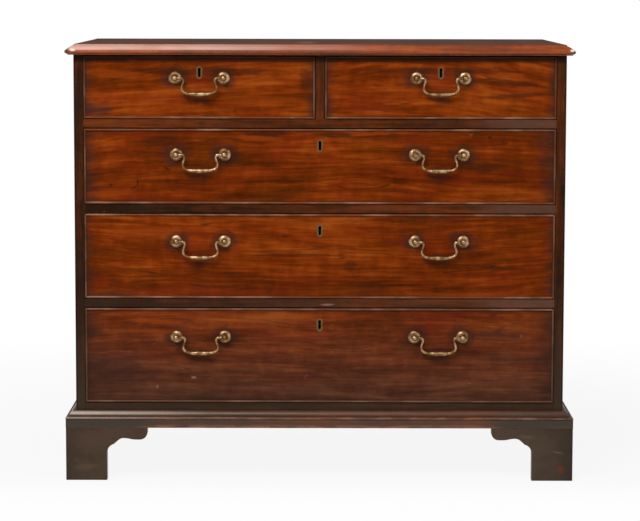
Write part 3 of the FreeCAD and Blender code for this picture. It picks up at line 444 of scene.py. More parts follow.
# Heights in the base moulding: its flat's upper edge, then the bands of its bead and its crown.
FLAT_HEIGHT = 0.017
BEAD_BAND = (0.0175, 0.0195, 0.022, 0.0235)
CROWN_BAND = (0.0245, 0.028, 0.0325, 0.0345)
# Distances from the middle between which the moulding comes to stand on a foot.
OVER_FEET = (0.33, 0.4)
# Painted glints on the top's front corners: place along X, and half a width.
TOP_SPOTS = ((-0.518, 0.006), (0.5275, 0.005))
DARK_PATCH = paint(48, 24, 12)
PURPLE_PATCH = paint(58, 36, 32)
PALE_MARK = paint(140, 106, 92)
RED_PATCH = paint(116, 34, 20)
BRIGHT_PATCH = paint(144, 60, 14)
RED_WOOD = paint(122, 34, 12)
OLIVE_WOOD = paint(92, 46, 4)
# Near black: the painted shadow below the top's overhang, the darker ends of the top's moulding, and the dirt
# in the joints of the back boards.
OVERHANG_DIRT = paint(26, 15, 10)
FOOT_DIRT = paint(52, 46, 39)
RUBBED_PALE = paint(196, 178, 162)
TOP_RUBBED = paint(220, 178, 164)
PALE_SPOT = paint(240, 222, 206)


def new_material(name):
    """An empty material with its shader; gives the material, the shader and the coordinates."""
    material = bpy.data.materials.new(name)
    material.use_nodes = True
    tree = material.node_tree
    tree.nodes.clear()
    shader = add_node(tree, "BsdfPrincipled")
    add_node(tree, "OutputMaterial", {"Surface": Wire(shader.outputs[0])})
    return material, shader, Wire(add_node(tree, "TexCoord").outputs["Object"])


def surface_normal(vector):
    """Which way the surface faces, in the chest's own axes."""
    return Wire(add_node(vector.tree, "TexCoord").outputs["Normal"])


def surface(shader, colour, roughness, height, depth, strength):
    """Give a shader its colour, its roughness and, from a height, small relief."""
    bump = add_node(shader.id_data, "Bump", {"Strength": strength, "Distance": depth, "Height": height})
    for name, source in (("Base Color", colour), ("Roughness", roughness), ("Normal", Wire(bump.outputs[0]))):
        feed(shader.inputs[name], source)


def dirty_corners(vector, colour, dirt_colour, reach, share):
    """The colour with dirt where surfaces meet, and where that dirt is."""
    dirt = corner_dirt(vector=vector, reach=reach)
    return blend(dirt * share, colour, dirt_colour), dirt


def rubbed_edges(vector, colour, worn, radius, amount, share):
    """The colour, rubbed through to the worn colour along its arrises."""
    mask = edge_wear(vector=vector, radius=radius, amount=amount)
    return blend(mask * share, colour, worn)


def marked(vector, colour, worn, density, seed, scratched, specked):
    """The colour with old scratches and specks on it, and where the scratches are."""
    scratch, speck = old_marks(vector=vector, density=density, seed=seed)
    return blend((scratch * scratched).most(speck * specked), colour, worn), scratch


def stained(vector, colour, stains, seed, seed_step=0.0):
    """The colour with stains over it, one after another.

    Each is a centre's x and z, half a width and half a height, a slope, a colour and a strength.
    """
    for index, (x, z, width, height, slope, shade, strength) in enumerate(stains):
        mask = stain(vector=vector, centre=(x, 0.0, z), size=(width, 1.0, height), slope=slope,
                     seed=seed + index * seed_step)
        colour = blend(mask * strength, colour, shade)
    return colour


def along(vector, axis):
    """The vector with its first part along a board's grain."""
    x, y, z = vector.parts()
    if axis == "Z":
        return joined(z, y, x)
    if axis == "Y":
        return joined(y, x, z)
    return vector


def along_mitred(vector, corner_x, corner_y):
    """Grain along the front strip and along the side strips of a frame mitred at its front corners."""
    x, y, z = vector.parts()
    sideways = (y - corner_y).math("GREATER_THAN", (abs(x) - corner_x) * -1.0)
    return blend(sideways, vector, joined(y, x, z), "VECTOR")


def waxed(shader, gloss, tint=(1.0, 0.55, 0.3)):
    """Sheen of wax over red wood."""
    shader.inputs["Specular IOR Level"].default_value = gloss
    shader.inputs["Specular Tint"].default_value = (*tint, 1.0)


def below_overhang(vector):
    """Where old dirt lies on the front, just below the top's overhang."""
    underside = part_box("top")[0].z
    return vector.parts()[2].rise(*[underside - drop for drop in OVERHANG_SHADE]) * 0.85


def floor_haze(vector):
    """How much of the floor's dust lies in the wax: most at the feet, none half way up."""
    return vector.parts()[2].fall(*HAZE_FADES)


def handle_height(drawer):
    """Height of a drawer's handle pivots."""
    low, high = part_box(drawer + "_handle_posts")
    return (low.z + high.z) / 2


def handle_offset(drawer):
    """How far a drawer's handles are from its middle."""
    if drawer in SHORT_DRAWERS:
        return 0.0
    low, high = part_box(drawer + "_right_bail")
    return (low.x + high.x) / 2


def front_material(drawer, seed, wander, lean, bow, tone, border, marks, stains):
    """Figured mahogany of one drawer front: bright in the middle, dark and handled at the edges."""
    brass = bpy.context.scene.chest_brass
    low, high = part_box(drawer + "_front")
    middle, half = (low + high) / 2, (high - low) / 2
    wood = bpy.context.scene.chest_wood
    material, shader, vector = new_material(drawer + "_mahogany")
    x, y, z = vector.parts()
    from_middle = x - middle.x
    sawn = joined(x, y, z + from_middle * lean + from_middle * from_middle * bow)
    figure, vein, pore = wood_figure(vector=sawn, seed=seed, wander=wander)
    colour = ramp((figure + tone).math("MAXIMUM", 0.0, clamp=True),
                  (0.0, wood.dark), (0.45, wood.middle), (0.7, wood.light), (1.0, wood.streak))
    hue = noise(joined(x * 6.0, seed, z * 24.0), detail=3.0)
    colour = blend(hue.rise(0.5, 0.7) * 0.4, colour, RED_WOOD)
    colour = blend(hue.rise(0.5, 0.3) * 0.25, colour, OLIVE_WOOD)
    colour = blend(vein * 0.6, colour, wood.vein)
    colour = blend(floor_haze(vector) * 0.9, colour, blend(figure, wood.patina, wood.haze))
    edge = rubbed_border(vector=vector, centre=middle, half_size=half, end_reach=border,
                         edge_reach=border * 0.25, seed=seed)
    shifted = vector.vector("SUBTRACT", (middle.x, 0.0, 0.0))
    # Dirt around the roses, and below each grip dirt together with its painted shadow.
    dirt = handle_dirt(vector=shifted, offset=handle_offset(drawer), half_spacing=brass.post_spacing / 2,
                       pivot=handle_height(drawer), drop=brass.bail_drop)
    # Dirt at the edges and around the handles, with the painted shadow below the grips.
    grime = (edge * 0.9).most(dirt * 0.62)
    colour = blend(grime, colour, wood.patina)
    colour = stained(vector, colour, stains, seed, seed_step=1.0)
    colour, scratch = marked(vector, colour, wood.worn, marks, seed, scratched=0.3, specked=0.35)
    # Painted shadow of the top's overhang.
    colour = blend(below_overhang(vector), colour, OVERHANG_DIRT)
    bare = surface_normal(vector).parts()[1].rise(-0.6, -0.3)
    colour = blend(bare, colour, blend(figure, wood.middle, wood.worn))
    waxed(shader, FRONT_GLOSS)
    swell = noise(vector.vector("MULTIPLY", (6.0, 6.0, 16.0)))
    surface(shader, colour, grime * 0.12 + pore * 0.12 + bare * 0.3 + 0.27,
            swell + pore * 0.05 - scratch * 0.1, depth=0.0012, strength=0.7)
    return material


def carcase_material(name, axis, seed, tones, gloss=0.1, wear=0.05, haze_share=0.8, mitre=None, detail=None,
                     tint=(1.0, 0.62, 0.42)):
    """Plainer mahogany of the carcase, worn along its edges.

    tones are how light the board is at its low and high end; detail adds what only one board has.
    """
    wood = bpy.context.scene.chest_wood
    material, shader, vector = new_material(name)
    grain = along_mitred(vector, *mitre) if mitre else along(vector, axis)
    figure, vein, pore = wood_figure(vector=grain, seed=seed, wander=0.012)
    x, _, z = vector.parts()
    tone = z.rise(*SIDE_TONE_TURNS, *tones) if axis == "Z" else x.rise(*RAIL_TONE_TURNS, *tones)
    colour = ramp((figure + tone).math("MAXIMUM", 0.0, clamp=True),
                  (0.0, wood.carcase_dark), (0.5, wood.carcase_middle), (1.0, wood.carcase_light))
    colour = blend(vein * 0.4, colour, wood.carcase_dark)
    cloud = noise(vector, 11.0, 3.0)
    colour = blend(floor_haze(vector) * haze_share + cloud.rise(0.4, 0.75) * 0.12, colour, wood.haze)
    # Dirt and painted shade in the corners.
    colour, dirt = dirty_corners(vector, colour, wood.carcase_dark, reach=0.008, share=0.7)
    # Painted shadow of the top's overhang.
    colour = blend(below_overhang(vector), colour, OVERHANG_DIRT)
    colour = rubbed_edges(vector, colour, wood.worn, radius=0.0018, amount=wear, share=0.45)
    colour, scratch = marked(vector, colour, wood.worn, 0.6, seed, scratched=0.25, specked=0.3)
    if detail:
        colour = detail(vector, colour)
    waxed(shader, gloss, tint)
    surface(shader, colour, cloud * 0.2 + pore * 0.1 + dirt * 0.2 + 0.16,
            noise(vector, 9.0) + pore * 0.06 - scratch * 0.1, depth=0.0012, strength=0.6)
    return material


def dark_outer_arris(vector, colour):
    """Near-black wax along the outer front edge of a side."""
    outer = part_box("left_side")[0].x * -1.0
    x, _, _ = vector.parts()
    front = surface_normal(vector).parts()[1].fall(-0.9, -0.3)
    arris = abs(x).rise(*[outer - inset for inset in DARK_ARRIS])
    return blend(arris * front * 0.75, colour, paint(20, 12, 9))


def worn_moulding(vector, colour):
    """The base moulding: rubbed along its rounds, and as dark as the feet where it stands on them."""
    wood = bpy.context.scene.chest_wood
    x, _, z = vector.parts()
    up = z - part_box("base_moulding")[0].z
    patches = noise(joined(x * 26.0, 0.0, z * 120.0), detail=3.0)
    flat = up.fall(FLAT_HEIGHT - 0.0005, FLAT_HEIGHT + 0.0005)
    over_feet = abs(x).rise(*OVER_FEET)
    # Darker where it stands over the feet, as dark as they are.
    colour = blend(over_feet * flat.rise(0.0, 1.0, 0.35, 1.0), colour, FOOT_DIRT)
    rubbed = joined(x * 5.0, 0.0, z * 8.0)
    # Painted highlight, strong at the left end and fading toward the right.
    left = x.rise(-0.5, -0.2, 1.0, 0.08) * noise(rubbed, detail=3.0).rise(0.25, 0.6, 0.55, 1.0)
    crown = up.band(*CROWN_BAND)
    colour = blend(crown * left * 0.58, colour, RUBBED_PALE)
    bead = up.band(*BEAD_BAND)
    colour = blend(bead * left * 0.3, colour, RUBBED_PALE)
    colour = blend(bead * patches.rise(0.42, 0.62) * 0.55, colour, wood.worn)
    edge = (up.fall(0.001, 0.009) - over_feet * 0.85).math("MAXIMUM", 0.0)
    return blend(edge * patches.rise(0.36, 0.56) * 0.65, colour, wood.worn)


# The stains of the front feet, by their places on the front.
FOOT_STAINS = (
    (0.514, 0.025, 0.008, 0.009, 0.0, paint(126, 66, 24), 0.75),
    (0.508, 0.061, 0.014, 0.0022, -0.15, paint(128, 112, 100), 0.5),
    (-0.500, 0.028, 0.030, 0.008, 0.1, paint(100, 80, 64), 0.45),
    (0.440, 0.095, 0.020, 0.004, -0.1, paint(104, 88, 76), 0.45),
)


def worn_foot(vector, colour):
    """A foot: uneven in its dirt, with a rubbed orange spot near its toe and short pale scratches."""
    uneven = noise(vector, 26.0, 4.0, 0.6)
    colour = blend(uneven.rise(0.4, 0.62) * 0.45, colour, paint(82, 66, 56))
    colour = blend(uneven.rise(0.5, 0.3) * 0.4, colour, paint(54, 49, 42))
    colour = blend(vector.parts()[0].rise(-0.2, 0.2) * 0.25, colour, paint(94, 80, 68))
    return stained(vector, colour, FOOT_STAINS, 2.0)


def greyed_rail(vector, colour):
    """A rail with a paler and greyer right end."""
    return blend(vector.parts()[0].rise(0.28, 0.42) * 0.35, colour, paint(112, 86, 72))


def chipped_rail(vector, colour):
    """The rail above the lower drawer, with a small chip in the middle of its edge."""
    chip = (0.015, 0.3745, 0.015, 0.003, 0.0, PALE_MARK, 0.75)
    return stained(vector, greyed_rail(vector, colour), [chip], 6.0)


def top_material():
    """The top: a polished moulding around a dulled surface."""
    wood = bpy.context.scene.chest_wood
    low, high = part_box("top")
    material, shader, vector = new_material("top_mahogany")
    figure, _, pore = wood_figure(vector=vector, seed=21.0, wander=0.02)
    colour = ramp(figure, (0.0, wood.top_dark), (0.5, wood.top_middle), (1.0, wood.top_light))
    flat = surface_normal(vector).parts()[2].rise(0.96, 0.999)
    cloud = noise(vector, 8.0, 4.0)
    cloudy = blend(cloud.rise(0.3, 0.75), wood.top_surface, blend(figure, wood.patina, wood.top_middle))
    colour = blend(flat * 0.95, colour, cloudy)
    x, y, z = vector.parts()
    # Painted highlight along the moulding's sloped front, strongest at the left.
    slope = (1.0 - flat) * z.rise(low.z + 0.009, low.z + 0.012)
    patchy = noise(vector.vector("MULTIPLY", (9.0, 9.0, 60.0))).rise(0.2, 0.6, 0.6, 1.0)
    rubbed_left = x.fall(-0.38, 0.24) * patchy
    slope = slope * z.rise(high.z - 0.007, high.z - 0.003, 1.0, 0.72)
    colour = blend(slope * rubbed_left * 0.85, colour, TOP_RUBBED)
    # Darker towards both ends of the top's moulding.
    tips = abs(x).rise(high.x - 0.012, high.x - 0.004) * cloud.rise(0.3, 0.5, 0.6, 1.0)
    colour = blend(tips * 0.8, colour, OVERHANG_DIRT)
    # Painted glints at the front corners.
    for spot_x, width in TOP_SPOTS:
        spot = stain(vector=vector, centre=(spot_x, 0.0, low.z + 0.011), size=(width, 1.0, 0.003),
                     slope=0.0, seed=1.0)
        colour = blend(spot * y.fall(low.y + 0.02, low.y + 0.03) * 0.9, colour, PALE_SPOT)
    colour = rubbed_edges(vector, colour, wood.worn, radius=0.0015, amount=0.02, share=0.4)
    colour, scratch = marked(vector, colour, wood.worn, 1.0, 3.0, scratched=0.4, specked=0.3)
    scuff = stain(vector=joined(x, 0.0, y), centre=(-0.03, 0.0, -0.09), size=(0.024, 1.0, 0.11),
                  slope=0.3, seed=5.0)
    colour = blend(scuff * flat * 0.35, colour, wood.worn)
    waxed(shader, 0.5, (1.0, 0.8, 0.64))
    surface(shader, colour, flat * 0.5 + cloud * 0.12 + pore * 0.05 + 0.12,
            noise(vector, 9.0) + pore * 0.06 - scratch * 0.1, depth=0.001, strength=0.5)
    return material


def bead_material(drawer):
    """Cock beads of one drawer: rubbed pale along the top and bottom, duller up the sides."""
    wood = bpy.context.scene.chest_wood
    low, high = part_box(drawer + "_cock_beads")
    middle, half = (low + high) / 2, (high - low) / 2
    material, shader, vector = new_material(drawer + "_bead_mahogany")
    x, y, z = vector.parts()
    patchy = noise(joined(x * 14.0, y * 60.0, z * 14.0), detail=3.0)
    upright = abs(x - middle.x).rise(half.x - BEAD_WIDTH - 0.001, half.x - BEAD_WIDTH)
    colour = ramp(patchy.rise(0.3, 0.72), (0.0, wood.carcase_light), (0.45, wood.bead), (1.0, wood.worn))
    # Painted shade on the upright beads.
    colour = blend(upright * 0.4, colour, wood.patina)
    colour = blend(floor_haze(vector) * 0.6, colour, wood.haze)
    # Painted shadow of the top's overhang.
    colour = blend(below_overhang(vector), colour, OVERHANG_DIRT)
    # Dirt and painted shade where the bead meets the front.
    colour, _ = dirty_corners(vector, colour, wood.patina, reach=0.003, share=0.85)
    waxed(shader, 0.15, (1.0, 0.8, 0.7))
    surface(shader, colour, patchy * 0.3 + 0.25, noise(vector, 240.0), depth=0.0004, strength=0.6)
    return material


def plain_wood_material(name, kind, axis, seed, sides_along_y=None, joints=()):
    """Unfinished oak or pine, with open pores and the dust of years.

    joints are where boards meet, along X.
    """
    wood = bpy.context.scene.chest_wood
    light, dark = getattr(wood, kind + "_light"), getattr(wood, kind + "_dark")
    material, shader, vector = new_material(f"{name}_{kind}")
    x, _, _ = vector.parts()
    grain = along(vector, axis)
    if sides_along_y:
        middle_x, inner_half = sides_along_y
        at_side = abs(x - middle_x).math("GREATER_THAN", inner_half)
        grain = blend(at_side, vector, along(vector, "Y"), "VECTOR")
    figure, vein, pore = wood_figure(vector=grain, seed=seed, wander=0.02)
    colour = ramp(figure, (0.0, dark), (1.0, light))
    colour = blend(vein * 0.6 + pore.rise(0.6, 0.75) * 0.25, colour, dark)
    cloud = noise(vector, 6.0, 4.0)
    colour = blend(cloud.rise(0.5, 0.75) * 0.4, colour, wood.patina)
    # Dirt and painted shade in the corners.
    colour, _ = dirty_corners(vector, colour, wood.patina, reach=0.02, share=0.6)
    for place in joints:
        colour = blend(abs(x - place).fall(0.0006, 0.0016) * 0.9, colour, OVERHANG_DIRT)
    shader.inputs["Specular IOR Level"].default_value = 0.25
    surface(shader, colour, figure * -0.15 + 0.75, figure * 0.3 + pore * 0.3 - vein * 0.2,
            depth=0.0008, strength=0.8)
    return material


def brass_material(name, plain, polish, dull_from, dull_to, dullness, grime=0.9):
    """Old brass: bright where hands rub it, brown in the hollows, by grime, and below.

    From the depth dull_from back to dull_to along Y it grows dark, by dullness.
    """
    material, shader, vector = new_material(name)
    cloud = noise(vector, 90.0, 4.0)
    colour = blend(cloud.rise(0.4, 0.66), plain, polish)
    # Tarnish in the hollows, found from ambient occlusion, so it also darkens where shade falls.
    dirt = corner_dirt(vector=vector, reach=0.006)
    spots = noise(vector, 320.0, 3.0).rise(0.58, 0.74)
    # Painted shade on the faces that turn down.
    below = surface_normal(vector).parts()[2].rise(-0.9, 0.1, 0.6, 0.0)
    dark = (dirt * grime).most(spots * 0.45).most(below).most(cloud.rise(0.55, 0.36) * 0.4)
    back = vector.parts()[1].rise(dull_from, dull_to) * dullness
    dark = dark.most(back * (noise(vector, 150.0, 3.0).rise(0.3, 0.7, 1.0, 0.45)))
    colour = blend(dark, colour, bpy.context.scene.chest_brass.tarnish)
    shader.inputs["Metallic"].default_value = 1.0
    surface(shader, colour, dark * 0.25 + cloud * 0.14 + 0.34, noise(vector, 420.0, 3.0),
            depth=0.0003, strength=0.5)
    return material


def iron_material():
    """Grey iron of the lock bolts, with file marks and a little rust."""
    metals = bpy.context.scene.chest_brass
    material, shader, vector = new_material("lock_iron")
    filed = noise(vector.vector("MULTIPLY", (1500.0, 1500.0, 90.0)))
    rust = noise(vector, 160.0, 4.0).rise(0.52, 0.7)
    colour = blend(rust * 0.7, metals.iron, metals.tarnish)
    feed(shader.inputs["Metallic"], rust * -0.5 + 1.0)
    surface(shader, colour, rust * 0.35 + filed * 0.2 + 0.22, filed + rust * 0.5, depth=0.0002, strength=0.6)
    return material


# ---------------------------------------------------------------- dressing the frame

def dress(node_name, material):
    """Give a CAD node its finish."""
    slots = NODES[node_name].data.materials
    slots.clear()
    slots.append(material)


def soften(node_name):
    """Round the arrises of a board a little, as handling does."""
    board = NODES[node_name]
    weld = board.modifiers.new("One skin", "WELD")
    weld.merge_threshold = 0.00001
    flat = board.modifiers.new("Whole faces", "DECIMATE")
    flat.decimate_type = "DISSOLVE"
    flat.angle_limit = math.radians(0.5)
    bevel = board.modifiers.new("Soft arrises", "BEVEL")
    bevel.width = bpy.context.scene.chest_wood.edge_radius
    bevel.segments = 2
    bevel.limit_method = "ANGLE"
    bevel.angle_limit = math.radians(30)
    bevel.miter_outer = "MITER_ARC"
    board.modifiers.new("Even shading", "WEIGHTED_NORMAL")


# Each front's figure and wear: the grain's wander, lean and bow, how light it is, how far in its dark ends
# reach, how many marks it has, and its stains, as stained() takes them.
FRONTS = {
    "short_left_drawer": dict(seed=1.0, wander=0.03, lean=-0.04, bow=0.1, tone=0.1,
                              border=0.022, marks=0.0, stains=[
        (-0.250, 0.868, 0.200, 0.010, 0.0, DARK_PATCH, 0.55),
        (-0.470, 0.785, 0.035, 0.020, 0.0, PURPLE_PATCH, 0.6),
        (-0.030, 0.850, 0.014, 0.030, 0.0, DARK_PATCH, 0.5),
        (-0.254, 0.850, 0.030, 0.022, 0.0, RED_PATCH, 0.35),
        (-0.430, 0.862, 0.070, 0.010, -0.05, BRIGHT_PATCH, 0.5),
        (-0.120, 0.806, 0.090, 0.010, 0.03, BRIGHT_PATCH, 0.45),
        (-0.180, 0.788, 0.060, 0.006, 0.0, DARK_PATCH, 0.3),
    ]),
    "short_right_drawer": dict(seed=4.0, wander=0.06, lean=0.06, bow=0.35, tone=0.08,
                               border=0.020, marks=0.0, stains=[
        (0.250, 0.870, 0.200, 0.008, 0.0, DARK_PATCH, 0.5),
        (0.390, 0.846, 0.090, 0.007, -0.06, DARK_PATCH, 0.6),
        (0.410, 0.818, 0.080, 0.006, 0.05, DARK_PATCH, 0.6),
        (0.170, 0.832, 0.070, 0.006, -0.25, BRIGHT_PATCH, 0.5),
        (0.440, 0.832, 0.050, 0.007, 0.0, BRIGHT_PATCH, 0.5),
        (0.100, 0.790, 0.070, 0.010, -0.05, RED_PATCH, 0.35),
        (0.254, 0.850, 0.030, 0.022, 0.0, RED_PATCH, 0.4),
    ]),
    "upper_drawer": dict(seed=7.0, wander=0.04, lean=0.0, bow=0.05, tone=-0.04,
                         border=0.036, marks=0.0, stains=[
        (-0.384, 0.634, 0.0024, 0.009, 0.0, DARK_PATCH, 0.8),
        (-0.391, 0.624, 0.008, 0.0022, 0.6, DARK_PATCH, 0.7),
        (-0.394, 0.612, 0.007, 0.0022, 0.0, DARK_PATCH, 0.7),
        (-0.441, 0.629, 0.003, 0.003, 0.0, DARK_PATCH, 0.8),
        (-0.110, 0.738, 0.060, 0.007, 0.0, DARK_PATCH, 0.75),
        (-0.180, 0.688, 0.022, 0.018, 0.0, DARK_PATCH, 0.5),
        (0.030, 0.735, 0.050, 0.006, 0.0, DARK_PATCH, 0.6),
        (-0.340, 0.722, 0.050, 0.014, 0.05, DARK_PATCH, 0.55),
        (-0.130, 0.727, 0.060, 0.006, -0.05, BRIGHT_PATCH, 0.6),
        (-0.240, 0.735, 0.040, 0.008, 0.0, BRIGHT_PATCH, 0.4),
        (-0.430, 0.612, 0.060, 0.010, 0.05, BRIGHT_PATCH, 0.45),
        (0.350, 0.668, 0.040, 0.010, 0.1, DARK_PATCH, 0.5),
        (0.150, 0.730, 0.120, 0.008, 0.0, DARK_PATCH, 0.35),
    ]),
    "middle_drawer": dict(seed=11.0, wander=0.035, lean=0.0, bow=-0.05, tone=0.0,
                          border=0.022, marks=0.0, stains=[
        (-0.075, 0.522, 0.008, 0.005, 0.0, DARK_PATCH, 0.5),
        (0.062, 0.457, 0.018, 0.014, 0.0, DARK_PATCH, 0.5),
        (-0.050, 0.480, 0.110, 0.004, 0.0, DARK_PATCH, 0.55),
        (0.370, 0.455, 0.080, 0.005, -0.08, DARK_PATCH, 0.5),
        (-0.440, 0.394, 0.060, 0.010, 0.0, PURPLE_PATCH, 0.6),
        (-0.380, 0.530, 0.080, 0.016, 0.0, BRIGHT_PATCH, 0.4),
        (0.300, 0.395, 0.160, 0.010, 0.0, BRIGHT_PATCH, 0.35),
        (0.200, 0.556, 0.140, 0.008, 0.0, DARK_PATCH, 0.45),
    ]),
    "lower_drawer": dict(seed=15.0, wander=0.04, lean=0.0, bow=0.0, tone=0.06,
                         border=0.045, marks=1.0, stains=[
        (-0.267, 0.218, 0.006, 0.003, 0.0, PALE_MARK, 0.8),
        (0.428, 0.308, 0.0026, 0.005, 0.0, PALE_MARK, 0.45),
        (-0.345, 0.199, 0.003, 0.005, 0.0, PALE_MARK, 0.5),
        (0.237, 0.326, 0.012, 0.026, 0.0, RED_PATCH, 0.3),
        (0.444, 0.243, 0.012, 0.008, 0.0, RED_PATCH, 0.25),
        (-0.350, 0.338, 0.070, 0.006, -0.04, BRIGHT_PATCH, 0.6),
        (-0.340, 0.316, 0.070, 0.005, -0.04, BRIGHT_PATCH, 0.45),
        (-0.430, 0.240, 0.070, 0.040, 0.0, PURPLE_PATCH, 0.6),
        (-0.200, 0.300, 0.050, 0.014, 0.0, DARK_PATCH, 0.5),
        (-0.150, 0.203, 0.050, 0.006, 0.0, PURPLE_PATCH, 0.6),
        (0.380, 0.310, 0.070, 0.014, 0.0, PURPLE_PATCH, 0.5),
        (0.400, 0.260, 0.090, 0.008, 0.0, PURPLE_PATCH, 0.5),
    ]),
}


class CHEST_OT_dress_fronts(bpy.types.Operator):
    """Give each drawer front its own figured mahogany"""
    bl_idname = "chest.dress_fronts"
    bl_label = "Drawer fronts"

    def execute(self, context):
        for drawer, look in FRONTS.items():
            dress(drawer + "_front", front_material(drawer, **look))
            soften(drawer + "_front")
        return {"FINISHED"}


class CHEST_OT_dress_beads(bpy.types.Operator):
    """Finish the cock beads around the drawer fronts"""
    bl_idname = "chest.dress_beads"
    bl_label = "Cock beads"

    def execute(self, context):
        for drawer in DRAWERS:
            dress(drawer + "_cock_beads", bead_material(drawer))
        return {"FINISHED"}


class CHEST_OT_dress_carcase(bpy.types.Operator):
    """Finish the top, sides, rails, mouldings and feet"""
    bl_idname = "chest.dress_carcase"
    bl_label = "Carcase"

    def execute(self, context):
        looks = {
            "left_side": dict(axis="Z", seed=23.0, tones=(-0.5, -0.24), haze_share=0.55,
                              detail=dark_outer_arris),
            "right_side": dict(axis="Z", seed=24.0, tones=(-0.5, 0.0), haze_share=0.6,
                               detail=dark_outer_arris),
            "upper_rail": dict(axis="X", seed=25.0, tones=(0.14, 0.06), detail=greyed_rail),
            "middle_rail": dict(axis="X", seed=26.0, tones=(-0.46, -0.06), detail=greyed_rail),
            "lower_rail": dict(axis="X", seed=27.0, tones=(-0.26, 0.04), haze_share=1.3, detail=chipped_rail),
            "bottom_rail": dict(axis="X", seed=28.0, tones=(-0.42, -0.5), haze_share=0.4),
            "short_drawer_divider": dict(axis="Z", seed=29.0, tones=(0.0, 0.04)),
        }
        for name, look in looks.items():
            dress(name, carcase_material(name + "_mahogany", **look))
            soften(name)
        dress("top", top_material())
        soften("top")
        low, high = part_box("base_moulding")
        dress("base_moulding", carcase_material(
            "moulding_mahogany", "X", 31.0, (0.0, 0.1), gloss=0.4, wear=0.05, haze_share=0.4,
            mitre=(high.x, low.y), detail=worn_moulding, tint=(1.0, 0.82, 0.7)))
        for side in ("left", "right"):
            low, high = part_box(f"front_{side}_foot")
            outer = max(abs(low.x), abs(high.x))
            dress(f"front_{side}_foot", carcase_material(
                f"{side}_foot_mahogany", "X", 33.0, (0.1, 0.1), wear=0.08, haze_share=0.88,
                mitre=(outer, low.y), detail=worn_foot))
            soften(f"front_{side}_foot")
        return {"FINISHED"}


LINING_THICKNESS = 0.009
BACK_BOARDS = 4
PINE_GRAIN = {"dustboards": "X", "bottom_board": "X", "back_boards": "Z", "drawer_guide_and_stops": "Y",
              "rear_feet": "Y", "foot_blocks": "Z"}


class CHEST_OT_dress_linings(bpy.types.Operator):
    """Finish the oak and pine that shows behind, below and inside"""
    bl_idname = "chest.dress_linings"
    bl_label = "Linings and back"

    def execute(self, context):
        for index, drawer in enumerate(DRAWERS):
            low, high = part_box(drawer + "_box")
            inner = (high.x - low.x) / 2 - LINING_THICKNESS
            dress(drawer + "_box", plain_wood_material(drawer + "_lining", "oak", "X", 41.0 + index,
                                                       ((low.x + high.x) / 2, inner)))
            dress(drawer + "_bottom", plain_wood_material(drawer + "_bottom", "oak", "X", 51.0 + index))
        low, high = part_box("back_boards")
        joints = [low.x + (high.x - low.x) * index / BACK_BOARDS for index in range(1, BACK_BOARDS)]
        for index, (name, axis) in enumerate(PINE_GRAIN.items()):
            dress(name, plain_wood_material(name, "pine", axis, 61.0 + index,
                                            joints=joints if name == "back_boards" else ()))
        return {"FINISHED"}


class CHEST_OT_dress_locks(bpy.types.Operator):
    """Finish the locks, their keyhole linings and their bolts"""
    bl_idname = "chest.dress_locks"
    bl_label = "Locks"

    def execute(self, context):
        metals = context.scene.chest_brass
        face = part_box("upper_drawer_front")[0].y
        # Behind the front face, the keyhole's walls and the lock are painted dark as the shade inside the
        # keyhole.
        brass = brass_material("lock_brass", metals.brass, metals.lining, face + 0.0001, face + 0.0004,
                               dullness=2.5)
        iron = iron_material()
        for drawer in DRAWERS:
            dress(drawer + "_lock", brass)
            dress(drawer + "_lock_bolt", iron)
        return {"FINISHED"}


# ---------------------------------------------------------------- handles

def arc(centre, radius, start, end, steps):
    """Points on an arc in a flat drawing, with its angles in degrees."""
    return [(centre[0] + radius * math.cos(math.radians(start + (end - start) * step / steps)),
             centre[1] + radius * math.sin(math.radians(start + (end - start) * step / steps)))
            for step in range(steps + 1)]


def lathe(mesh, centre, profile, sides=48):
    """Turn a profile about an axis along -Y: each point is how far out it is, and its radius."""
    rings = []
    for out, radius in profile:
        ring = []
        for step in range(sides):
            angle = 2 * math.pi * step / sides
            ring.append(mesh.verts.new((centre.x + radius * math.cos(angle), centre.y - out,
                                        centre.z + radius * math.sin(angle))))
        rings.append(ring)
    for inner, outer in zip(rings, rings[1:]):
        for step in range(sides):
            following = (step + 1) % sides
            mesh.faces.new((inner[step], inner[following], outer[following], outer[step]))
    mesh.faces.new(list(reversed(rings[0])))
    mesh.faces.new(rings[-1])


def finish_piece(name, mesh, material, body, slot, *nodes):
    """Make an object of a mesh, shade it, and let it ride on its body in place of a node."""
    bmesh.ops.recalc_face_normals(mesh, faces=mesh.faces)
    data = bpy.data.meshes.new(name)
    mesh.to_mesh(data)
    mesh.free()
    for face in data.polygons:
        face.use_smooth = True
    data.set_sharp_from_angle(angle=math.radians(40))
    data.materials.append(material)
    piece = bpy.data.objects.new(name, data)
    bpy.context.scene.collection.objects.link(piece)
    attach(piece, body)
    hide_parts(*nodes)


def handle_places():
    """Each handle's bail, drawer and pivot middle."""
    brass = bpy.context.scene.chest_brass
    places = []
    for drawer in DRAWERS:
        sides = ("left_", "right_") if drawer in LONG_DRAWERS else ("",)
        for side in sides:
            bail = f"{drawer}_{side}bail"
            low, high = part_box(bail)
            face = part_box(drawer + "_front")[0].y
            places.append((bail, drawer, Vector(((low.x + high.x) / 2, face - brass.pivot_out,
                                                 handle_height(drawer)))))
    return places


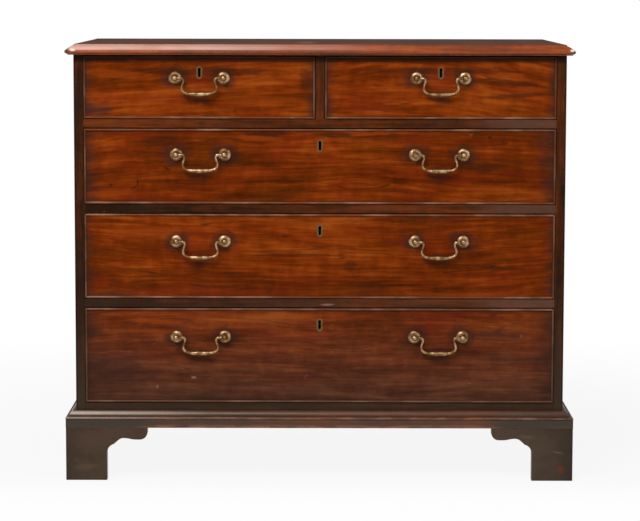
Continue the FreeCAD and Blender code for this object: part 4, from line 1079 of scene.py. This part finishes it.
def post_profile(brass):
    """The turned front of a post: rose, collar, neck and ball, as out and radius."""
    radius = brass.rose_radius
    head = brass.head_radius
    boss, thickness, rim = 0.007, 0.0052, 0.001
    fall = thickness - rim
    dome = ((radius - boss) ** 2 + fall ** 2) / (2 * fall)
    edge_angle = math.degrees(math.asin((radius - boss) / dome))
    rose = [(0.0, radius - 0.0004), (0.0003, radius)] + arc((thickness - dome, boss), dome, edge_angle, 0, 10)
    groove = [(thickness, 0.0066), (thickness - 0.0005, 0.0062), (thickness - 0.0005, 0.0056)]
    collar = [(thickness + 0.0008, 0.0054), (thickness + 0.0013, 0.0050), (thickness + 0.0014, 0.0042)]
    neck = [(0.0070, 0.0034), (0.0078, 0.0031)]
    start = 180 - math.degrees(math.asin(0.0031 / head))
    ball = arc((brass.pivot_out, 0.0), head, start, 2, 16)
    return rose + groove + collar + neck + ball


# The nut behind a drawer front, as out and radius, and the post's threaded end that passes through it.
NUT_PROFILE = ((0.0, 0.0062), (-0.0008, 0.0064), (-0.0032, 0.0064), (-0.004, 0.0058))
THREAD_START = 0.004
THREAD_RADIUS = 0.0024


class CHEST_OT_make_posts(bpy.types.Operator):
    """Turn the roses and ball-headed posts of the handles, with their nuts inside"""
    bl_idname = "chest.make_posts"
    bl_label = "Handle posts"

    def execute(self, context):
        brass = context.scene.chest_brass
        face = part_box("upper_drawer_front")[0].y
        material = brass_material("handle_brass", brass.brass, brass.polish, face - 0.004, face - 0.001,
                                  dullness=0.7, grime=0.55)
        for drawer in DRAWERS:
            mesh = bmesh.new()
            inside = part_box(drawer + "_front")[1].y
            length_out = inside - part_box(drawer + "_handle_posts")[1].y
            thread = [(THREAD_START, THREAD_RADIUS), (length_out + 0.0004, THREAD_RADIUS),
                      (length_out, THREAD_RADIUS - 0.0005)]
            for _, owner, pivot in handle_places():
                if owner != drawer:
                    continue
                for side in BOTH_SIDES:
                    centre = Vector((pivot.x + side * brass.post_spacing / 2, pivot.y + brass.pivot_out,
                                     pivot.z))
                    lathe(mesh, centre, post_profile(brass))
                    behind = Vector((centre.x, inside, centre.z))
                    lathe(mesh, behind, NUT_PROFILE, sides=6)
                    lathe(mesh, behind, thread, sides=24)
            finish_piece(drawer + "_roses_and_posts", mesh, material, drawer, "brass",
                         drawer + "_handle_posts")
        return {"FINISHED"}


def bail_points(brass):
    """Half a bail from its pin to the middle of the grip: x, z and the bar's radius."""
    bar = brass.bar_radius
    reach = brass.post_spacing / 2
    drop = brass.bail_drop
    return [
        (reach - 0.0030, 0.0, 0.0019), (reach - 0.0062, 0.0, 0.0020), (reach - 0.0066, 0.0, bar),
        (reach - 0.0100, 0.0, bar), (reach - 0.0138, -0.0002, bar * 1.3),
        (reach - 0.0172, -0.0022, bar * 1.25), (reach - 0.0181, -0.0056, bar),
        (reach - 0.0168, -0.0110, bar * 0.95),
        (reach - 0.0148, -0.0172, bar * 0.98), (reach - 0.0150, -0.0230, bar * 1.02),
        (reach - 0.0178, -0.0282, bar * 1.12), (reach - 0.0232, -0.0314, bar * 1.22),
        (reach - 0.0300, -0.0328, bar * 1.3), (reach - 0.0350, -0.0334, brass.grip_radius * 0.82),
        (reach - 0.0430, -drop + 0.0002, brass.grip_radius * 0.96), (0.0, -drop, brass.grip_radius),
    ]


def swept(name, points, sides=20):
    """A smooth round bar through points, each with its own radius, as a mesh."""
    curve = bpy.data.curves.new(name, "CURVE")
    curve.dimensions = "3D"
    curve.bevel_depth = 1.0
    curve.bevel_resolution = sides // 4
    curve.resolution_u = 8
    curve.use_fill_caps = True
    spline = curve.splines.new("BEZIER")
    spline.bezier_points.add(len(points) - 1)
    for point, (place, radius) in zip(spline.bezier_points, points):
        point.co = place
        point.radius = radius
        point.handle_left_type = point.handle_right_type = "AUTO"
    holder = bpy.data.objects.new(name, curve)
    bpy.context.scene.collection.objects.link(holder)
    bpy.context.view_layer.update()
    graph = bpy.context.evaluated_depsgraph_get()
    data = bpy.data.meshes.new_from_object(holder.evaluated_get(graph))
    bpy.data.objects.remove(holder)
    mesh = bmesh.new()
    mesh.from_mesh(data)
    bmesh.ops.remove_doubles(mesh, verts=mesh.verts, dist=0.00001)
    return mesh


class CHEST_OT_make_bails(bpy.types.Operator):
    """Make the swan-neck bails that swing on the posts"""
    bl_idname = "chest.make_bails"
    bl_label = "Bails"

    def execute(self, context):
        brass = context.scene.chest_brass
        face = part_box("upper_drawer_front")[0].y
        material = brass_material("bail_brass", brass.brass, brass.polish, face - 0.010, face, dullness=0.3)
        half = bail_points(brass)
        whole = half + [(-x, z, radius) for x, z, radius in half[-2::-1]]
        for bail, _, pivot in handle_places():
            points = [(pivot + Vector((x, 0.0, z)), radius) for x, z, radius in whole]
            finish_piece(bail + "_bar", swept(bail, points), material, bail, "brass", bail)
        return {"FINISHED"}


# ---------------------------------------------------------------- stage

# Each lamp's place, and its two sizes.
LAMPS = {"key": ((-1.3, -2.7, 3.3), (2.2, 1.3)), "fill": ((2.6, -2.9, 2.2), (1.2, 1.2))}
# Circles of the floor's mesh, inside its rim.
FLOOR_RINGS = (1.0, 4.0, 20.0, 100.0)
# How far from the middle the floor is shaded by the chest, and where in front of it that ends.
SHADED_FLOOR = (0.7, 2.0)
CLEAR_FRONT = (-0.5, -0.2)


class CHEST_OT_make_stage(bpy.types.Operator):
    """Set the camera, the lamps, the pale floor and the light around"""
    bl_idname = "chest.make_stage"
    bl_label = "Stage"

    def execute(self, context):
        stage = context.scene.chest_stage
        self.make_camera(context, stage)
        for name, (place, size) in LAMPS.items():
            self.make_lamp(name + "_lamp", getattr(stage, name + "_power"), place, size)
        self.make_floor(context, stage)
        self.make_sky(context, stage)
        context.scene.view_settings.view_transform = "Standard"
        return {"FINISHED"}

    def make_camera(self, context, stage):
        """Stand before the front and look a little down at it."""
        data = bpy.data.cameras.new("camera")
        data.lens = stage.lens
        data.sensor_width = 36.0
        data.shift_y = stage.shift
        data.clip_end = 1000.0
        camera = bpy.data.objects.new("camera", data)
        context.scene.collection.objects.link(camera)
        front_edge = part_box("top")[0].y
        camera.location = (stage.camera_side, front_edge - stage.camera_distance, stage.camera_height)
        camera.rotation_euler = Euler((math.pi / 2 - stage.camera_pitch, -stage.camera_roll, 0.0))
        context.scene.camera = camera

    def make_lamp(self, name, power, place, size):
        """A soft lamp that shines at the middle of the chest."""
        data = bpy.data.lights.new(name, "AREA")
        data.energy = power
        data.shape = "RECTANGLE"
        data.size, data.size_y = size
        lamp = bpy.data.objects.new(name, data)
        bpy.context.scene.collection.objects.link(lamp)
        lamp.location = place
        middle = (CAD_BOX[0] + CAD_BOX[1]) / 2
        lamp.rotation_euler = (middle - Vector(place)).to_track_quat("-Z", "Y").to_euler()

    def make_floor(self, context, stage):
        """A wide round floor, in rings that are finer near the chest."""
        mesh = bmesh.new()
        rings = (*FLOOR_RINGS, stage.floor_radius)
        bmesh.ops.create_circle(mesh, cap_ends=True, radius=rings[0], segments=96)
        edge = [item for item in mesh.edges if item.is_boundary]
        for before, radius in zip(rings, rings[1:]):
            made = bmesh.ops.extrude_edge_only(mesh, edges=edge)["geom"]
            corners = [item for item in made if isinstance(item, bmesh.types.BMVert)]
            edge = [item for item in made if isinstance(item, bmesh.types.BMEdge)]
            bmesh.ops.scale(mesh, verts=corners, vec=(radius / before, radius / before, 1.0))
        data = bpy.data.meshes.new("floor")
        mesh.to_mesh(data)
        mesh.free()
        floor = bpy.data.objects.new("floor", data)
        context.scene.collection.objects.link(floor)
        data.materials.append(self.floor_material(stage))
        floor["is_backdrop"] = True

    def floor_material(self, stage):
        """Pale matt floor: nearly white where it is seen, with the chest's shadow kept in it."""
        material, shader, vector = new_material("pale_floor")
        tree = material.node_tree
        mottled = blend(noise(vector, 3.0, 3.0), [0.985 * part for part in stage.floor], stage.floor)
        feed(shader.inputs["Base Color"], mottled)
        shader.inputs["Roughness"].default_value = 0.9
        shader.inputs["Specular IOR Level"].default_value = 0.1
        glow = add_node(tree, "Emission", {"Color": (1.0, 1.0, 1.0), "Strength": 1.0})
        rays = add_node(tree, "LightPath").outputs
        kinds = ("Camera", "Glossy", "Transmission")
        camera, glossy, through = [Wire(rays[f"Is {kind} Ray"]) for kind in kinds]
        shaded = length(vector).fall(*SHADED_FLOOR) * vector.parts()[1].rise(*CLEAR_FRONT, 0.25, 1.0)
        share = camera.most(glossy).most(through) * (shaded * (stage.floor_glow - 1.0) + 1.0)
        both = add_node(tree, "MixShader", (share, Wire(shader.outputs[0]), Wire(glow.outputs[0])))
        output = next(item for item in tree.nodes if item.type == "OUTPUT_MATERIAL")
        feed(output.inputs["Surface"], Wire(both.outputs[0]))
        return material

    def make_sky(self, context, stage):
        """Soft light from all round, stronger overhead."""
        world = bpy.data.worlds.new("soft_light")
        context.scene.world = world
        world.use_nodes = True
        tree = world.node_tree
        tree.nodes.clear()
        height = Wire(add_node(tree, "TexCoord").outputs["Generated"]).parts()[2]
        low, high = [(level,) * 3 for level in (stage.sky_low, stage.sky_high)]
        background = add_node(tree, "Background", {"Color": blend(height.rise(0.0, 0.8), low, high)})
        add_node(tree, "OutputWorld", {"Surface": Wire(background.outputs[0])})


# ---------------------------------------------------------------- add-on

class CHEST_PT_panel(bpy.types.Panel):
    """The chest's operators and settings in the 3D view's sidebar"""
    bl_idname = "CHEST_PT_panel"
    bl_label = "Chest of drawers"
    bl_space_type = "VIEW_3D"
    bl_region_type = "UI"
    bl_category = "Chest"

    def draw(self, context):
        for operator in OPERATORS:
            self.layout.operator(operator.bl_idname, text=operator.bl_label)
        for name in SETTINGS:
            settings = getattr(context.scene, name)
            column = self.layout.column(align=True)
            for setting in settings.bl_rna.properties.keys():
                if setting not in ("rna_type", "name"):
                    column.prop(settings, setting)


OPERATORS = (CHEST_OT_dress_fronts, CHEST_OT_dress_beads, CHEST_OT_dress_carcase, CHEST_OT_dress_linings,
             CHEST_OT_dress_locks, CHEST_OT_make_posts, CHEST_OT_make_bails, CHEST_OT_make_stage)
SETTINGS = {"chest_wood": WoodSettings, "chest_brass": BrassSettings, "chest_stage": StageSettings}


def register():
    for item in (*SETTINGS.values(), *OPERATORS, CHEST_PT_panel):
        bpy.utils.register_class(item)
    for name, settings in SETTINGS.items():
        setattr(bpy.types.Scene, name, PointerProperty(type=settings))


def unregister():
    for name in SETTINGS:
        delattr(bpy.types.Scene, name)
    for item in (CHEST_PT_panel, *reversed(OPERATORS), *SETTINGS.values()):
        bpy.utils.unregister_class(item)


def main():
    """Dress the whole chest, set the stage and write the two boxes."""
    register()
    for operator in OPERATORS:
        group, name = operator.bl_idname.split(".")
        getattr(getattr(bpy.ops, group), name)()
    boxes = {"cad": [list(corner) for corner in CAD_BOX],
             "visual": [list(corner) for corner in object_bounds()]}


if __name__ == "__main__":
    main()
